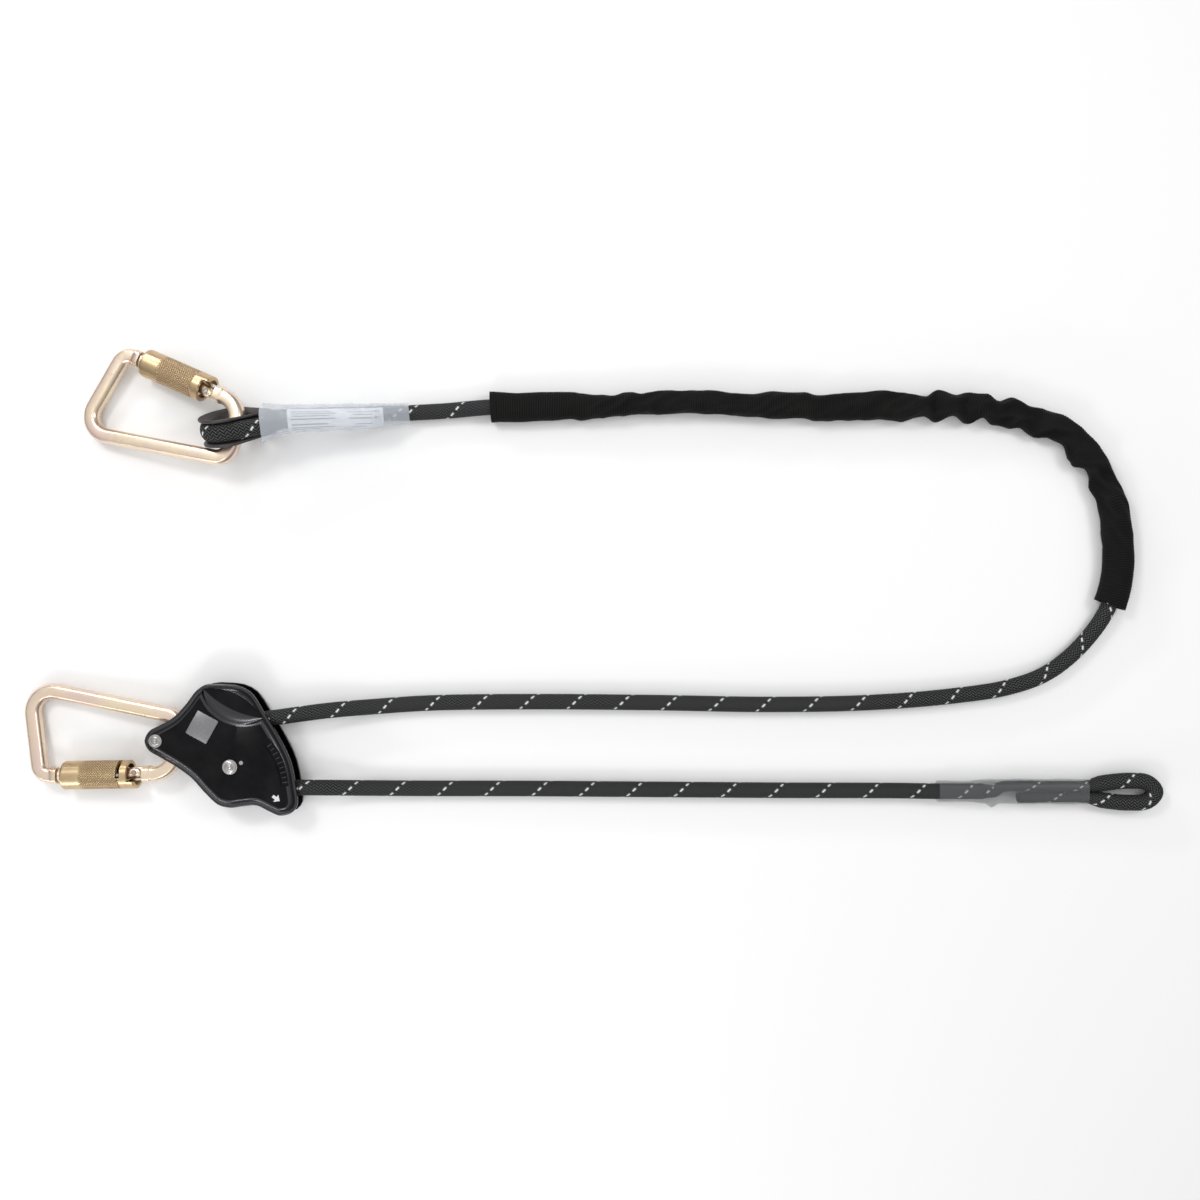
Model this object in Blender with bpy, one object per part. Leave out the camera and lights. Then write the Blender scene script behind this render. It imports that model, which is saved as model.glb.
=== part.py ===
"""Rope grab with its positioning lanyard: an adjuster housing with a cam, two auto-locking steel
carabiners, and a kernmantle rope with a thimble eye, a webbing sleeve and a small tail eye.

Metres, +Z up. The lanyard lies on the plane z = 0. The origin is the foot of the cam pivot's axis,
X runs along the lanyard and Y from the adjuster to the anchor eye."""

import math

import bmesh
import bpy
from mathutils import Matrix, Vector

GAP = 0.0003  # between pieces that touch

# Rope
ROPE_D = 0.0125
ROPE_R = ROPE_D / 2
ROPE_LIE = ROPE_R + 0.0002  # height of the centreline where the rope lies on the ground
WEB_HALF_W, WEB_HALF_H, WEB_WALL = 0.0118, 0.0083, 0.0010  # tubular webbing round the rope
WEB_LIE = WEB_HALF_H + 0.0001  # height of the rope's centreline inside the webbing
ROPE_STEP = 0.030  # spacing of the points along a tube

# Adjuster housing: two plates with the rope and the cam between them
PLATE_T = 0.0065
PLATE_GAP = 0.015
HOUSING_T = 2 * PLATE_T + PLATE_GAP
MIDDLE_Z = HOUSING_T / 2
GAP_LOW = PLATE_T + GAP
GAP_HIGH = PLATE_T + PLATE_GAP - GAP
HOUSING_OUTLINE = [  # clockwise from the nose
    (-0.0676, 0.0200), (-0.0640, 0.0275), (-0.0560, 0.0320), (-0.0450, 0.0385), (-0.0355, 0.0484),
    (-0.0275, 0.0588), (-0.0200, 0.0639), (-0.0080, 0.0644), (0.0050, 0.0630), (0.0155, 0.0574),
    (0.0252, 0.0429), (0.0384, 0.0211), (0.0466, 0.0032), (0.0503, -0.0150), (0.0515, -0.0300),
    (0.0470, -0.0363), (0.0384, -0.0384), (0.0300, -0.0352), (0.0200, -0.0305), (0.0100, -0.0310),
    (0.0000, -0.0322), (-0.0100, -0.0299), (-0.0200, -0.0210), (-0.0310, -0.0090), (-0.0420, -0.0008),
    (-0.0560, 0.0075), (-0.0645, 0.0128),
]
# (height above the plate's inner face, inset from the outline)
PLATE_LEVELS = [(0.0, 0.0004), (0.0004, 0.0), (0.0028, 0.0), (0.0032, 0.0005), (0.0034, 0.0030),
                (0.0058, 0.0044), (PLATE_T, 0.0054)]
PIVOT_HEAD_R = 0.0060
PIVOT_SHANK_R = 0.0036
ATTACHMENT_XY = (-0.0580, 0.0202)
ATTACHMENT_HEAD_R = 0.00525
ATTACHMENT_SHANK_R = 0.0042
ATTACHMENT_BUSH_R = 0.0060
SPRING_PIN_XY = (0.0088, 0.0033)
SPRING_PIN_R = 0.0016
BADGE_XY = (-0.0216, 0.0312)
BADGE_SIZE = (0.0184, 0.0200)
BADGE_TURN = math.radians(-29)
BADGE_DEPTH = 0.0010
SCALLOP_ENDS = ((-0.0230, 0.0613), (0.0265, 0.0370))
SCALLOP_TOP = (0.0060, 0.0562)
SCALLOP_BOTTOM = (-0.0045, 0.0362)
SCALLOP_DEPTH = 0.0032

# Turn of the rope inside the housing
TURN_XY = (0.0, 0.006)
TURN_R = 0.022
LOAD_MOUTH = Vector((0.0293, 0.0369, MIDDLE_Z))
MOUTH_WAY = Vector((1, 0.14, 0)).normalized()
TAIL_MOUTH = Vector((0.0514, -0.0179, MIDDLE_Z))

# Cam
CAM_LOW, CAM_HIGH = 0.0079, 0.0173
CAM_BODY_XY, CAM_BODY_R = (0.0, 0.0042), 0.0123
CAM_NOSE_XY, CAM_NOSE_R = (0.0180, -0.0052), 0.0045
CAM_BUSH_R = 0.0049
GUIDE_POST_XY, GUIDE_POST_R = (-0.0204, 0.0303), 0.0030
ANVIL_OUTLINE = [(0.0120, -0.0242), (0.0460, -0.0250), (0.0460, -0.0325), (0.0380, -0.0345),
                 (0.0330, -0.0335), (0.0200, -0.0283), (0.0120, -0.0283)]
ANVIL_DOWELS = {"anvil_dowel_inner": (0.0180, -0.0262), "anvil_dowel_outer": (0.0400, -0.0295)}
DOWEL_R = 0.0013

# Carabiner, drawn flat: x along the spine from the wide end, y from the spine to the gate
BAR_HALF_W, BAR_HALF_T = 0.0060, 0.0054
BODY_CORNERS = [((0.0062, 0.0733), 0.0100), ((-0.0184, 0.0060), 0.0160), ((0.1090, 0.0060), 0.0120),
                ((0.1090, 0.0507), 0.0180)]  # centreline corners with their bend radii
GATE_START = Vector((0.0250, 0.0692))  # on the gate's axis, at the nose end of the sleeve
GATE_TURN = math.atan2(BODY_CORNERS[3][0][1] - BODY_CORNERS[0][0][1],
                       BODY_CORNERS[3][0][0] - BODY_CORNERS[0][0][0])
# Along the gate's axis, measured from GATE_START
TONGUE_TIP, NOSE_FACE, NOSE_BACK = -0.0015, -0.0052, -0.0098
GATE_NOSE, HINGE_AT, LUG_FACE, LUG_BACK = -0.0044, 0.0578, 0.0636, 0.0700
SLEEVE_FROM, SLEEVE_FULL_TO, SLEEVE_TO = 0.0006, 0.0535, 0.0592
HINGE_OFF = -0.0015  # the hinge is this far to the inside of the gate's axis
GATE_R = 0.0054
TANG_R, TANG_HALF_T = 0.0046, 0.0025
RIVET_R = 0.0017
SLEEVE_R, SLEEVE_BORE_R = 0.0112, 0.0086
GUIDE_AT, GUIDE_R = 0.0470, 0.0011
SLEEVE_TWIST = math.radians(75)

# Anchor eye: the thimble's round end is centred here, and leans over
EYE_CENTRE = Vector((-0.0014, 0.2650, 0.0243))
EYE_HEADING, EYE_LEAN = math.radians(8), math.radians(22)
THIMBLE_FLOOR_R = 0.0114
THIMBLE_APEX = 0.0290
EYE_ROPE_R = 0.0175  # centreline radius round the thimble
COVER_END = Vector((0.1364, 0.2784, 0.0079))
COVER_FROM = 0.0260
# (share of the cover's length from the thimble, half width, half height)
COVER_STATIONS = [(0.00, 0.0138, 0.0208), (0.07, 0.0124, 0.0186), (0.14, 0.0108, 0.0166),
                  (0.22, 0.0100, 0.0152), (0.40, 0.0096, 0.0144), (0.58, 0.0093, 0.0143),
                  (0.76, 0.0090, 0.0142), (0.88, 0.0083, 0.0106), (1.00, 0.0078, 0.0079)]
COVER_WALL = 0.0009
COVER_POWER = 0.6  # squares the covers' section round two strands
COVER_SIDES = 14
THROAT, STRAND_OFF = 0.0480, 0.0066  # where the two strands come together, and their half spacing
THROAT_SHARE = 0.20  # of the cover's length
UPPER_STRAND_SHARE = 0.62  # of the way from the throat to the cover's end
LABEL_SHARES = (0.22, 0.76)

# Where each carabiner lies: its spine corner, heading, rise of the narrow end, and roll
GRAB_CARABINER = (Vector((-0.1462, 0.0640, 0.0062)), math.radians(-11.04), math.radians(3.8),
                  math.radians(-3.2))
ANCHOR_CARABINER = (Vector((-0.1083, 0.2547, 0.0083)), math.radians(-11.37), math.radians(8.6), 0.0)
GRAB_SWING, ANCHOR_SWING = (0.0947, 0.0257, 0), (0.1090, 0.0280, 0)  # in the flat drawing

# Route of the load rope from the eye's cover to the adjuster, at the centreline
LOAD_ROUTE = [
    COVER_END + Vector((GAP, 0, 0)), Vector((0.1660, 0.2802, 0.0070)), Vector((0.1960, 0.2826, WEB_LIE)),
    Vector((0.2300, 0.2842, WEB_LIE)), Vector((0.2960, 0.2848, WEB_LIE)), Vector((0.3920, 0.2860, WEB_LIE)),
    Vector((0.4560, 0.2845, WEB_LIE)), Vector((0.5190, 0.2850, WEB_LIE)), Vector((0.5820, 0.2820, WEB_LIE)),
    Vector((0.6312, 0.2719, WEB_LIE)), Vector((0.6690, 0.2498, WEB_LIE)), Vector((0.6918, 0.2130, WEB_LIE)),
    Vector((0.6992, 0.1700, WEB_LIE)), Vector((0.6930, 0.1290, WEB_LIE)), Vector((0.6740, 0.0980, ROPE_LIE)),
    Vector((0.6450, 0.0730, ROPE_LIE)), Vector((0.6140, 0.0610, ROPE_LIE)),
    Vector((0.5660, 0.0535, ROPE_LIE)), Vector((0.5020, 0.0485, ROPE_LIE)),
    Vector((0.4230, 0.0470, ROPE_LIE)), Vector((0.3280, 0.0485, ROPE_LIE)),
    Vector((0.2330, 0.0492, ROPE_LIE)), Vector((0.1540, 0.0482, ROPE_LIE)),
    Vector((0.1060, 0.0452, ROPE_LIE + 0.0015)), Vector((0.0720, 0.0425, ROPE_LIE + 0.0050)),
    LOAD_MOUTH + MOUTH_WAY * 0.0080,
]
WEB_FROM_X, WEB_TO_Y = 0.2010, 0.1260  # the webbing's two ends on the route

# Tail: a straight run to a small flat eye, with a clear tube over its splice
TAIL_COVER_FROM, TAIL_COVER_TO = 0.5560, 0.6740
TAIL_ROPE_TO = TAIL_COVER_FROM + 0.0300
TAIL_Y, TAIL_LIE = -0.0222, 0.0076
TAIL_ROUTE = [
    TAIL_MOUTH + Vector((0.0080, 0, 0)), Vector((0.0950, -0.0190, ROPE_LIE + 0.0022)),
    Vector((0.1400, -0.0196, ROPE_LIE + 0.0002)),
    Vector((0.2300, -0.0198, ROPE_LIE)), Vector((0.3300, -0.0205, ROPE_LIE)),
    Vector((0.4300, -0.0212, ROPE_LIE)), Vector((0.5200, -0.0214, ROPE_LIE + 0.0004)),
    Vector((TAIL_COVER_FROM, -0.0218, TAIL_LIE)), Vector((TAIL_ROPE_TO - 0.006, -0.0218, TAIL_LIE)),
    Vector((TAIL_ROPE_TO, -0.0218, TAIL_LIE)),
]


def clear_scene():
    for obj in list(bpy.data.objects):
        bpy.data.objects.remove(obj, do_unlink=True)


def material(name, colour, roughness, metallic=0.0):
    made = bpy.data.materials.get(name) or bpy.data.materials.new(name)
    made.use_nodes = True
    shader = made.node_tree.nodes["Principled BSDF"]
    shader.inputs["Base Color"].default_value = (*colour, 1)
    shader.inputs["Roughness"].default_value = roughness
    shader.inputs["Metallic"].default_value = metallic
    return made


def black_anodised():
    return material("black_anodised", (0.012, 0.012, 0.013), 0.35, 0.6)


def bright_steel():
    return material("bright_steel", (0.60, 0.58, 0.54), 0.3, 1.0)


def hidden_steel():
    return material("hidden_steel", (0.42, 0.42, 0.43), 0.4, 1.0)


def yellow_zinc():
    return material("yellow_zinc", (0.66, 0.52, 0.36), 0.28, 1.0)


def bronze():
    return material("bronze", (0.55, 0.38, 0.17), 0.4, 1.0)


def rope_black():
    return material("rope_black", (0.02, 0.02, 0.022), 0.85)


def webbing_black():
    return material("webbing_black", (0.012, 0.012, 0.013), 0.8)


def thimble_plastic():
    return material("thimble_plastic", (0.04, 0.035, 0.035), 0.5)


def clear_film():
    return material("clear_film", (0.62, 0.65, 0.70), 0.35)


def label_paper():
    return material("label_paper", (0.80, 0.80, 0.82), 0.7)


def add_mesh(name, points, faces, look, origin=(0, 0, 0)):
    """A mesh object with its faces turned outwards and its round sides smooth."""
    mesh = bpy.data.meshes.new(name)
    origin = Vector(origin)
    mesh.from_pydata([Vector(p) - origin for p in points], [], faces)
    shape = bmesh.new()
    shape.from_mesh(mesh)
    bmesh.ops.recalc_face_normals(shape, faces=shape.faces)
    shape.to_mesh(mesh)
    shape.free()
    mesh.shade_smooth()
    mesh.set_sharp_from_angle(angle=math.radians(35))
    obj = bpy.data.objects.new(name, mesh)
    obj.location = origin
    mesh.materials.append(look)
    bpy.context.scene.collection.objects.link(obj)
    return obj


def loft(name, rings, look, looped=False, origin=(0, 0, 0)):
    """Joins equal rings of points in order: with end caps, or looped back to the first ring."""
    count = len(rings[0])
    points = [p for ring in rings for p in ring]
    faces = []
    last = len(rings) if looped else len(rings) - 1
    for i in range(last):
        here, after = i * count, (i + 1) % len(rings) * count
        for j in range(count):
            k = (j + 1) % count
            faces.append((here + j, here + k, after + k, after + j))
    if not looped:
        faces.append(tuple(range(count)))
        faces.append(tuple(len(points) - count + j for j in reversed(range(count))))
    return add_mesh(name, points, faces, look, origin)


def circle(centre, radius, side, up, count):
    turns = (2 * math.pi * (i + 0.5) / count for i in range(count))
    return [Vector(centre) + side * radius * math.cos(t) + up * radius * math.sin(t) for t in turns]


X, Y, Z = Vector((1, 0, 0)), Vector((0, 1, 0)), Vector((0, 0, 1))


def turned(name, xy, profile, look, count=20):
    """A solid turned about a vertical axis, from (radius, height) pairs going up."""
    rings = [circle((xy[0], xy[1], z), r, X, Y, count) for r, z in profile]
    return loft(name, rings, look, origin=(xy[0], xy[1], 0))


def bored(name, xy, inner, outer, low, high, look, count=20):
    """A ring or a bush about a vertical axis."""
    profile = [(inner, low), (outer, low), (outer, high), (inner, high)]
    rings = []
    for i in range(count):
        t = 2 * math.pi * (i + 0.5) / count
        rings.append([Vector((xy[0] + r * math.cos(t), xy[1] + r * math.sin(t), z)) for r, z in profile])
    return loft(name, rings, look, looped=True, origin=(xy[0], xy[1], 0))


def prism(name, outline, low, high, look):
    rings = [[Vector((x, y, z)) for x, y in outline] for z in (low, high)]
    return loft(name, rings, look)


def cut(target, cutter):
    cutter.hide_render = True
    cutter.display_type = "WIRE"
    modifier = target.modifiers.new("cut_" + cutter.name, "BOOLEAN")
    modifier.operation = "DIFFERENCE"
    modifier.solver = "EXACT"
    modifier.object = cutter


def smooth_curve(points, per_span, closed=False):
    """Points on a Catmull-Rom curve through the given points."""
    points = [Vector(p) for p in points]
    n = len(points)
    made = []
    for i in range(n if closed else n - 1):
        if closed:
            a, b, c, d = (points[(i + k) % n] for k in (-1, 0, 1, 2))
        else:
            b, c = points[i], points[i + 1]
            a = points[i - 1] if i else b - (c - b)
            d = points[i + 2] if i + 2 < n else c + (c - b)
        ends = [0.0]
        for p, q in ((a, b), (b, c), (c, d)):
            ends.append(ends[-1] + max((q - p).length, 1e-9) ** 0.5)
        for j in range(per_span):
            t = ends[1] + (ends[2] - ends[1]) * j / per_span
            ab = a.lerp(b, (t - ends[0]) / (ends[1] - ends[0]))
            bc = b.lerp(c, (t - ends[1]) / (ends[2] - ends[1]))
            cd = c.lerp(d, (t - ends[2]) / (ends[3] - ends[2]))
            abc = ab.lerp(bc, (t - ends[0]) / (ends[2] - ends[0]))
            bcd = bc.lerp(cd, (t - ends[1]) / (ends[3] - ends[1]))
            made.append(abc.lerp(bcd, (t - ends[1]) / (ends[2] - ends[1])))
    return made if closed else made + [points[-1]]


def evenly(points, step):
    """The same line with its points at equal distances of about the step."""
    lengths = [0.0]
    for p, q in zip(points, points[1:]):
        lengths.append(lengths[-1] + (q - p).length)
    count = max(2, round(lengths[-1] / step))
    made, at = [], 0
    for i in range(count + 1):
        want = lengths[-1] * i / count
        while at < len(points) - 2 and lengths[at + 1] < want:
            at += 1
        span = lengths[at + 1] - lengths[at]
        made.append(points[at].lerp(points[at + 1], (want - lengths[at]) / span))
    return made


def inset(outline, distance):
    """A closed clockwise outline moved inwards along its normals."""
    n, made = len(outline), []
    for i, p in enumerate(outline):
        along = (outline[(i + 1) % n] - outline[i - 1]).normalized()
        made.append(p + Vector((along.y, -along.x, 0)) * distance)
    return made


def arc_through(start, middle, end, count):
    """Points of the circle arc through three points, both ends included."""
    (ax, ay), (bx, by), (cx, cy) = start, middle, end
    d = 2 * (ax * (by - cy) + bx * (cy - ay) + cx * (ay - by))
    a2, b2, c2 = ax * ax + ay * ay, bx * bx + by * by, cx * cx + cy * cy
    ux = (a2 * (by - cy) + b2 * (cy - ay) + c2 * (ay - by)) / d
    uy = (a2 * (cx - bx) + b2 * (ax - cx) + c2 * (bx - ax)) / d
    radius = math.hypot(ax - ux, ay - uy)
    first, mid, last = (math.atan2(y - uy, x - ux) for x, y in (start, middle, end))
    turn = (last - first) % (2 * math.pi)
    if (mid - first) % (2 * math.pi) > turn:
        turn -= 2 * math.pi
    angles = (first + turn * i / (count - 1) for i in range(count))
    return [Vector((ux + radius * math.cos(t), uy + radius * math.sin(t), 0)) for t in angles]


def rounded_path(start, corners, end, per_corner):
    """Centreline through corners given with bend radii, as flat points."""
    knots = [Vector(start)] + [Vector(c) for c, _ in corners] + [Vector(end)]
    made = [knots[0]]
    for i, (_, radius) in enumerate(corners, 1):
        back = (knots[i - 1] - knots[i]).normalized()
        ahead = (knots[i + 1] - knots[i]).normalized()
        half = math.acos(max(-1, min(1, back.dot(ahead)))) / 2
        first = knots[i] + back * (radius / math.tan(half))
        last = knots[i] + ahead * (radius / math.tan(half))
        centre = knots[i] + (back + ahead).normalized() * (radius / math.sin(half))
        sweep = math.pi - 2 * half
        for j in range(per_corner + 1):
            t = j / per_corner
            blend = (first - centre) * math.sin((1 - t) * sweep) + (last - centre) * math.sin(t * sweep)
            made.append(centre + blend / math.sin(sweep))
    return made + [knots[-1]]


def tube(name, points, radius, look, resolution=3):
    """A rope or cord: a round curve with closed ends."""
    curve = bpy.data.curves.new(name, "CURVE")
    curve.dimensions = "3D"
    curve.bevel_depth = radius
    curve.bevel_resolution = resolution
    curve.use_fill_caps = True
    spline = curve.splines.new("POLY")
    spline.points.add(len(points) - 1)
    for point, place in zip(spline.points, points):
        point.co = (*place, 1)
    obj = bpy.data.objects.new(name, curve)
    curve.materials.append(look)
    bpy.context.scene.collection.objects.link(obj)
    return obj


def coil(name, centre, axis, radius, wire_r, turns, length, look, per_turn=12, sides=5):
    """A helical spring about an axis."""
    axis = axis.normalized()
    side = axis.orthogonal().normalized()
    up = axis.cross(side)
    rings = []
    total = round(turns * per_turn)
    for i in range(total + 1):
        t = 2 * math.pi * i / per_turn
        outward = side * math.cos(t) + up * math.sin(t)
        place = centre + axis * (length * i / total) + outward * radius
        rings.append(circle(place, wire_r, outward, axis, sides))
    return loft(name, rings, look)


# ---- Adjuster ----------------------------------------------------------------------------------


def housing_outline():
    return smooth_curve([(x, y, 0) for x, y in HOUSING_OUTLINE], 2, closed=True)


def housing_plate(name, inner_z, outward):
    """A plate from its inner face outwards: a flange, then the raised face with its bevel."""
    outline = housing_outline()
    rings = []
    for height, distance in PLATE_LEVELS:
        z = inner_z + outward * height
        rings.append([Vector((p.x, p.y, z)) for p in inset(outline, distance)])
    plate = loft(name, rings, black_anodised())
    for hole, xy, radius in (("pivot_hole", (0, 0), PIVOT_HEAD_R),
                             ("attachment_hole", ATTACHMENT_XY, ATTACHMENT_HEAD_R)):
        profile = [(radius + GAP, inner_z - 0.01), (radius + GAP, inner_z + 0.01)]
        cut(plate, turned(f"{name}_{hole}", xy, profile, hidden_steel()))
    blind = [(0.0016, GUIDE_POST_XY)] + [(DOWEL_R + GAP, xy) for xy in ANVIL_DOWELS.values()]
    for i, (radius, xy) in enumerate(blind):
        ends = sorted((inner_z - outward * 0.002, inner_z + outward * 0.0040))
        cut(plate, turned(f"{name}_blind_{i}", xy, [(radius, ends[0]), (radius, ends[1])],
                          hidden_steel(), 12))
    return plate


def scallop_cutter():
    """The lens-shaped thumb scallop in the top of the front plate, with sloping walls."""
    top = arc_through(SCALLOP_ENDS[0], SCALLOP_TOP, SCALLOP_ENDS[1], 12)
    bottom = arc_through(SCALLOP_ENDS[1], SCALLOP_BOTTOM, SCALLOP_ENDS[0], 12)
    lens = top + bottom[1:-1]
    centre = sum(lens, Vector()) / len(lens)
    rings = []
    for z, share in ((HOUSING_T + 0.001, 1.03), (HOUSING_T - SCALLOP_DEPTH, 0.84)):
        rings.append([centre.lerp(p, share) + Z * z for p in lens])
    return loft("scallop_cutter", rings, hidden_steel())


def badge(name, grow, low, high, look):
    turn = Matrix.Rotation(BADGE_TURN, 3, "Z")
    half_x, half_y = BADGE_SIZE[0] / 2 + grow, BADGE_SIZE[1] / 2 + grow
    corners = [Vector((sx * half_x, sy * half_y, 0)) for sx, sy in ((-1, -1), (1, -1), (1, 1), (-1, 1))]
    outline = [turn @ c + Vector((*BADGE_XY, 0)) for c in corners]
    return prism(name, [(p.x, p.y) for p in outline], low, high, look)


def housing():
    housing_plate("rear_plate", PLATE_T, -1)
    front = housing_plate("front_plate", PLATE_T + PLATE_GAP, 1)
    cut(front, scallop_cutter())
    floor = HOUSING_T - BADGE_DEPTH
    cut(front, badge("badge_pocket", GAP, floor, HOUSING_T + 0.002, hidden_steel()))
    badge("badge_tile", 0, floor + GAP, HOUSING_T + GAP, bright_steel())
    profile = [(SPRING_PIN_R + GAP, 0.018), (SPRING_PIN_R + GAP, 0.030)]
    cut(front, turned("spring_pin_hole", SPRING_PIN_XY, profile, hidden_steel(), 16))


def pins():
    head_low, head_high = PLATE_T + GAP, HOUSING_T - PLATE_T - GAP
    turned("cam_pivot_pin", (0, 0), [
        (PIVOT_HEAD_R - 0.0004, 0), (PIVOT_HEAD_R, 0.0004), (PIVOT_HEAD_R, head_low - GAP),
        (PIVOT_SHANK_R, head_low), (PIVOT_SHANK_R, head_high), (PIVOT_HEAD_R, head_high + GAP),
        (PIVOT_HEAD_R, HOUSING_T - 0.0002), (PIVOT_HEAD_R - 0.0004, HOUSING_T + 0.0002),
    ], bright_steel(), 20)
    turned("attachment_pin", ATTACHMENT_XY, [
        (ATTACHMENT_HEAD_R - 0.0004, 0), (ATTACHMENT_HEAD_R, 0.0004), (ATTACHMENT_HEAD_R, head_low - GAP),
        (ATTACHMENT_SHANK_R, head_low), (ATTACHMENT_SHANK_R, head_high),
        (ATTACHMENT_HEAD_R, head_high + GAP), (ATTACHMENT_HEAD_R, HOUSING_T - 0.0002),
        (ATTACHMENT_HEAD_R - 0.0004, HOUSING_T + 0.0002),
    ], bright_steel(), 20)
    bored("attachment_bush", ATTACHMENT_XY, ATTACHMENT_SHANK_R + GAP, ATTACHMENT_BUSH_R,
          GAP_LOW + 0.0002, GAP_HIGH - 0.0002, bronze())
    turned("spring_anchor_pin", SPRING_PIN_XY, [
        (SPRING_PIN_R, 0.0186), (SPRING_PIN_R, HOUSING_T)], bright_steel(), 16)
    turned("rope_guide_post", GUIDE_POST_XY, [
        (0.0013, PLATE_T - 0.0035), (0.0013, GAP_LOW), (GUIDE_POST_R, GAP_LOW + 0.0001),
        (GUIDE_POST_R, GAP_HIGH - 0.0001), (0.0013, GAP_HIGH), (0.0013, PLATE_T + PLATE_GAP + 0.0035),
    ], hidden_steel(), 16)


def tangent_outline(big_xy, big_r, small_xy, small_r, count):
    """A cam outline: two circles of different size with their outer tangents."""
    big, small = Vector((*big_xy, 0)), Vector((*small_xy, 0))
    along = small - big
    facing = math.atan2(along.y, along.x)
    spread = math.acos((big_r - small_r) / along.length)
    outline = []
    for i in range(count + 1):
        t = facing + spread + (2 * math.pi - 2 * spread) * i / count
        outline.append((big.x + big_r * math.cos(t), big.y + big_r * math.sin(t)))
    half = count // 2
    for i in range(half + 1):
        t = facing - spread + 2 * spread * i / half
        outline.append((small.x + small_r * math.cos(t), small.y + small_r * math.sin(t)))
    return outline


def cam_group():
    outline = tangent_outline(CAM_BODY_XY, CAM_BODY_R, CAM_NOSE_XY, CAM_NOSE_R, 24)
    cam = prism("cam", outline, CAM_LOW, CAM_HIGH, hidden_steel())
    profile = [(CAM_BUSH_R + GAP, CAM_LOW - 0.002), (CAM_BUSH_R + GAP, CAM_HIGH + 0.002)]
    cut(cam, turned("cam_bore", (0, 0), profile, hidden_steel()))
    bored("cam_bush", (0, 0), PIVOT_SHANK_R + GAP, CAM_BUSH_R, CAM_LOW, CAM_HIGH, bronze())
    bored("cam_washer_rear", (0, 0), PIVOT_SHANK_R + GAP, 0.0068, GAP_LOW + 0.0001, CAM_LOW - GAP,
          hidden_steel())
    bored("cam_washer_front", (0, 0), PIVOT_SHANK_R + GAP, 0.0066, CAM_HIGH + GAP, CAM_HIGH + 0.0008,
          hidden_steel())
    coil("cam_return_spring", Vector((0, 0, CAM_HIGH + 0.0018)), Z, 0.0060, 0.0005, 1.75, 0.0016,
         hidden_steel())


def anvil():
    block = prism("brake_anvil", ANVIL_OUTLINE, GAP_LOW, GAP_HIGH, hidden_steel())
    for name, xy in ANVIL_DOWELS.items():
        cut(block, turned(f"{name}_hole", xy, [(DOWEL_R + GAP, 0), (DOWEL_R + GAP, HOUSING_T)],
                          hidden_steel(), 12))
        turned(name, xy, [(DOWEL_R, PLATE_T - 0.0035), (DOWEL_R, PLATE_T + PLATE_GAP + 0.0035)],
               hidden_steel(), 12)


def turn_route():
    """The rope's way through the housing, from the load mouth round the cam to the tail mouth."""
    centre = Vector((*TURN_XY, MIDDLE_Z))
    around = []
    for i in range(7):
        t = math.radians(88 + 184 * i / 6)
        around.append(centre + Vector((math.cos(t), math.sin(t), 0)) * TURN_R)
    lead = [TAIL_MOUTH - X * 0.030 + Y * 0.0008, TAIL_MOUTH - X * 0.006, TAIL_MOUTH]
    return [LOAD_MOUTH, LOAD_MOUTH - MOUTH_WAY * 0.012] + around + lead


def rope_in_housing():
    inner = smooth_curve(turn_route()[1:-1], 2)
    tube("rope_in_housing", [LOAD_MOUTH] + inner + [TAIL_MOUTH], ROPE_R, rope_black(), 2)


# ---- Carabiner ---------------------------------------------------------------------------------

ALONG = Vector((math.cos(GATE_TURN), math.sin(GATE_TURN), 0))
ACROSS = Vector((-ALONG.y, ALONG.x, 0))


def gate_point(s, off=0.0, up=0.0):
    """A point given along the gate's axis, across it away from the spine, and up."""
    return Vector((*GATE_START, 0)) + ALONG * s + ACROSS * off + Z * up


def bar_section(centre, side, half_w, half_t):
    """A flattened octagon: flat faces above and below, and rounded sides."""
    wide, tall = half_w * 0.60, half_t * 0.48
    corners = ((half_w, tall), (wide, half_t), (-wide, half_t), (-half_w, tall))
    corners += tuple((-w, -t) for w, t in corners)
    return [centre + side * w + Z * t for w, t in corners]


def body_rings():
    rings = []
    for s, half_w, half_t in ((TONGUE_TIP, 0.0030, 0.0021), (NOSE_FACE, 0.0032, 0.0021),
                              (NOSE_FACE, 0.0064, 0.0056), (NOSE_BACK, 0.0066, 0.0057)):
        rings.append(bar_section(gate_point(s), -ACROSS, half_w, half_t))
    start, end = gate_point(NOSE_BACK), gate_point(LUG_BACK)
    path = [p.to_3d() for p in rounded_path(start.xy, BODY_CORNERS, end.xy, 6)][1:-1]
    for i, p in enumerate(path):
        ahead = (path[min(i + 1, len(path) - 1)] - path[max(i - 1, 0)]).normalized()
        if i in (0, len(path) - 1):
            ahead = -ALONG
        rings.append(bar_section(p, Vector((-ahead.y, ahead.x, 0)), BAR_HALF_W, BAR_HALF_T))
    rings.append(bar_section(gate_point(LUG_BACK), -ACROSS, 0.0066, 0.0057))
    rings.append(bar_section(gate_point(LUG_FACE), -ACROSS, 0.0064, 0.0056))
    rings.append(bar_section(gate_point(LUG_FACE, HINGE_OFF), -ACROSS, 0.0044, TANG_HALF_T))
    for degrees in (90, 60, 35, 12):
        t = math.radians(degrees)
        place = gate_point(HINGE_AT - TANG_R * math.cos(t), HINGE_OFF)
        rings.append(bar_section(place, -ACROSS, TANG_R * math.sin(t), TANG_HALF_T))
    return rings


def gate_cylinder(name, s_from, s_to, radius, look, off=0.0, count=14):
    rings = [circle(gate_point(s, off), radius, ACROSS, Z, count) for s in (s_from, s_to)]
    return loft(name, rings, look)


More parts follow.
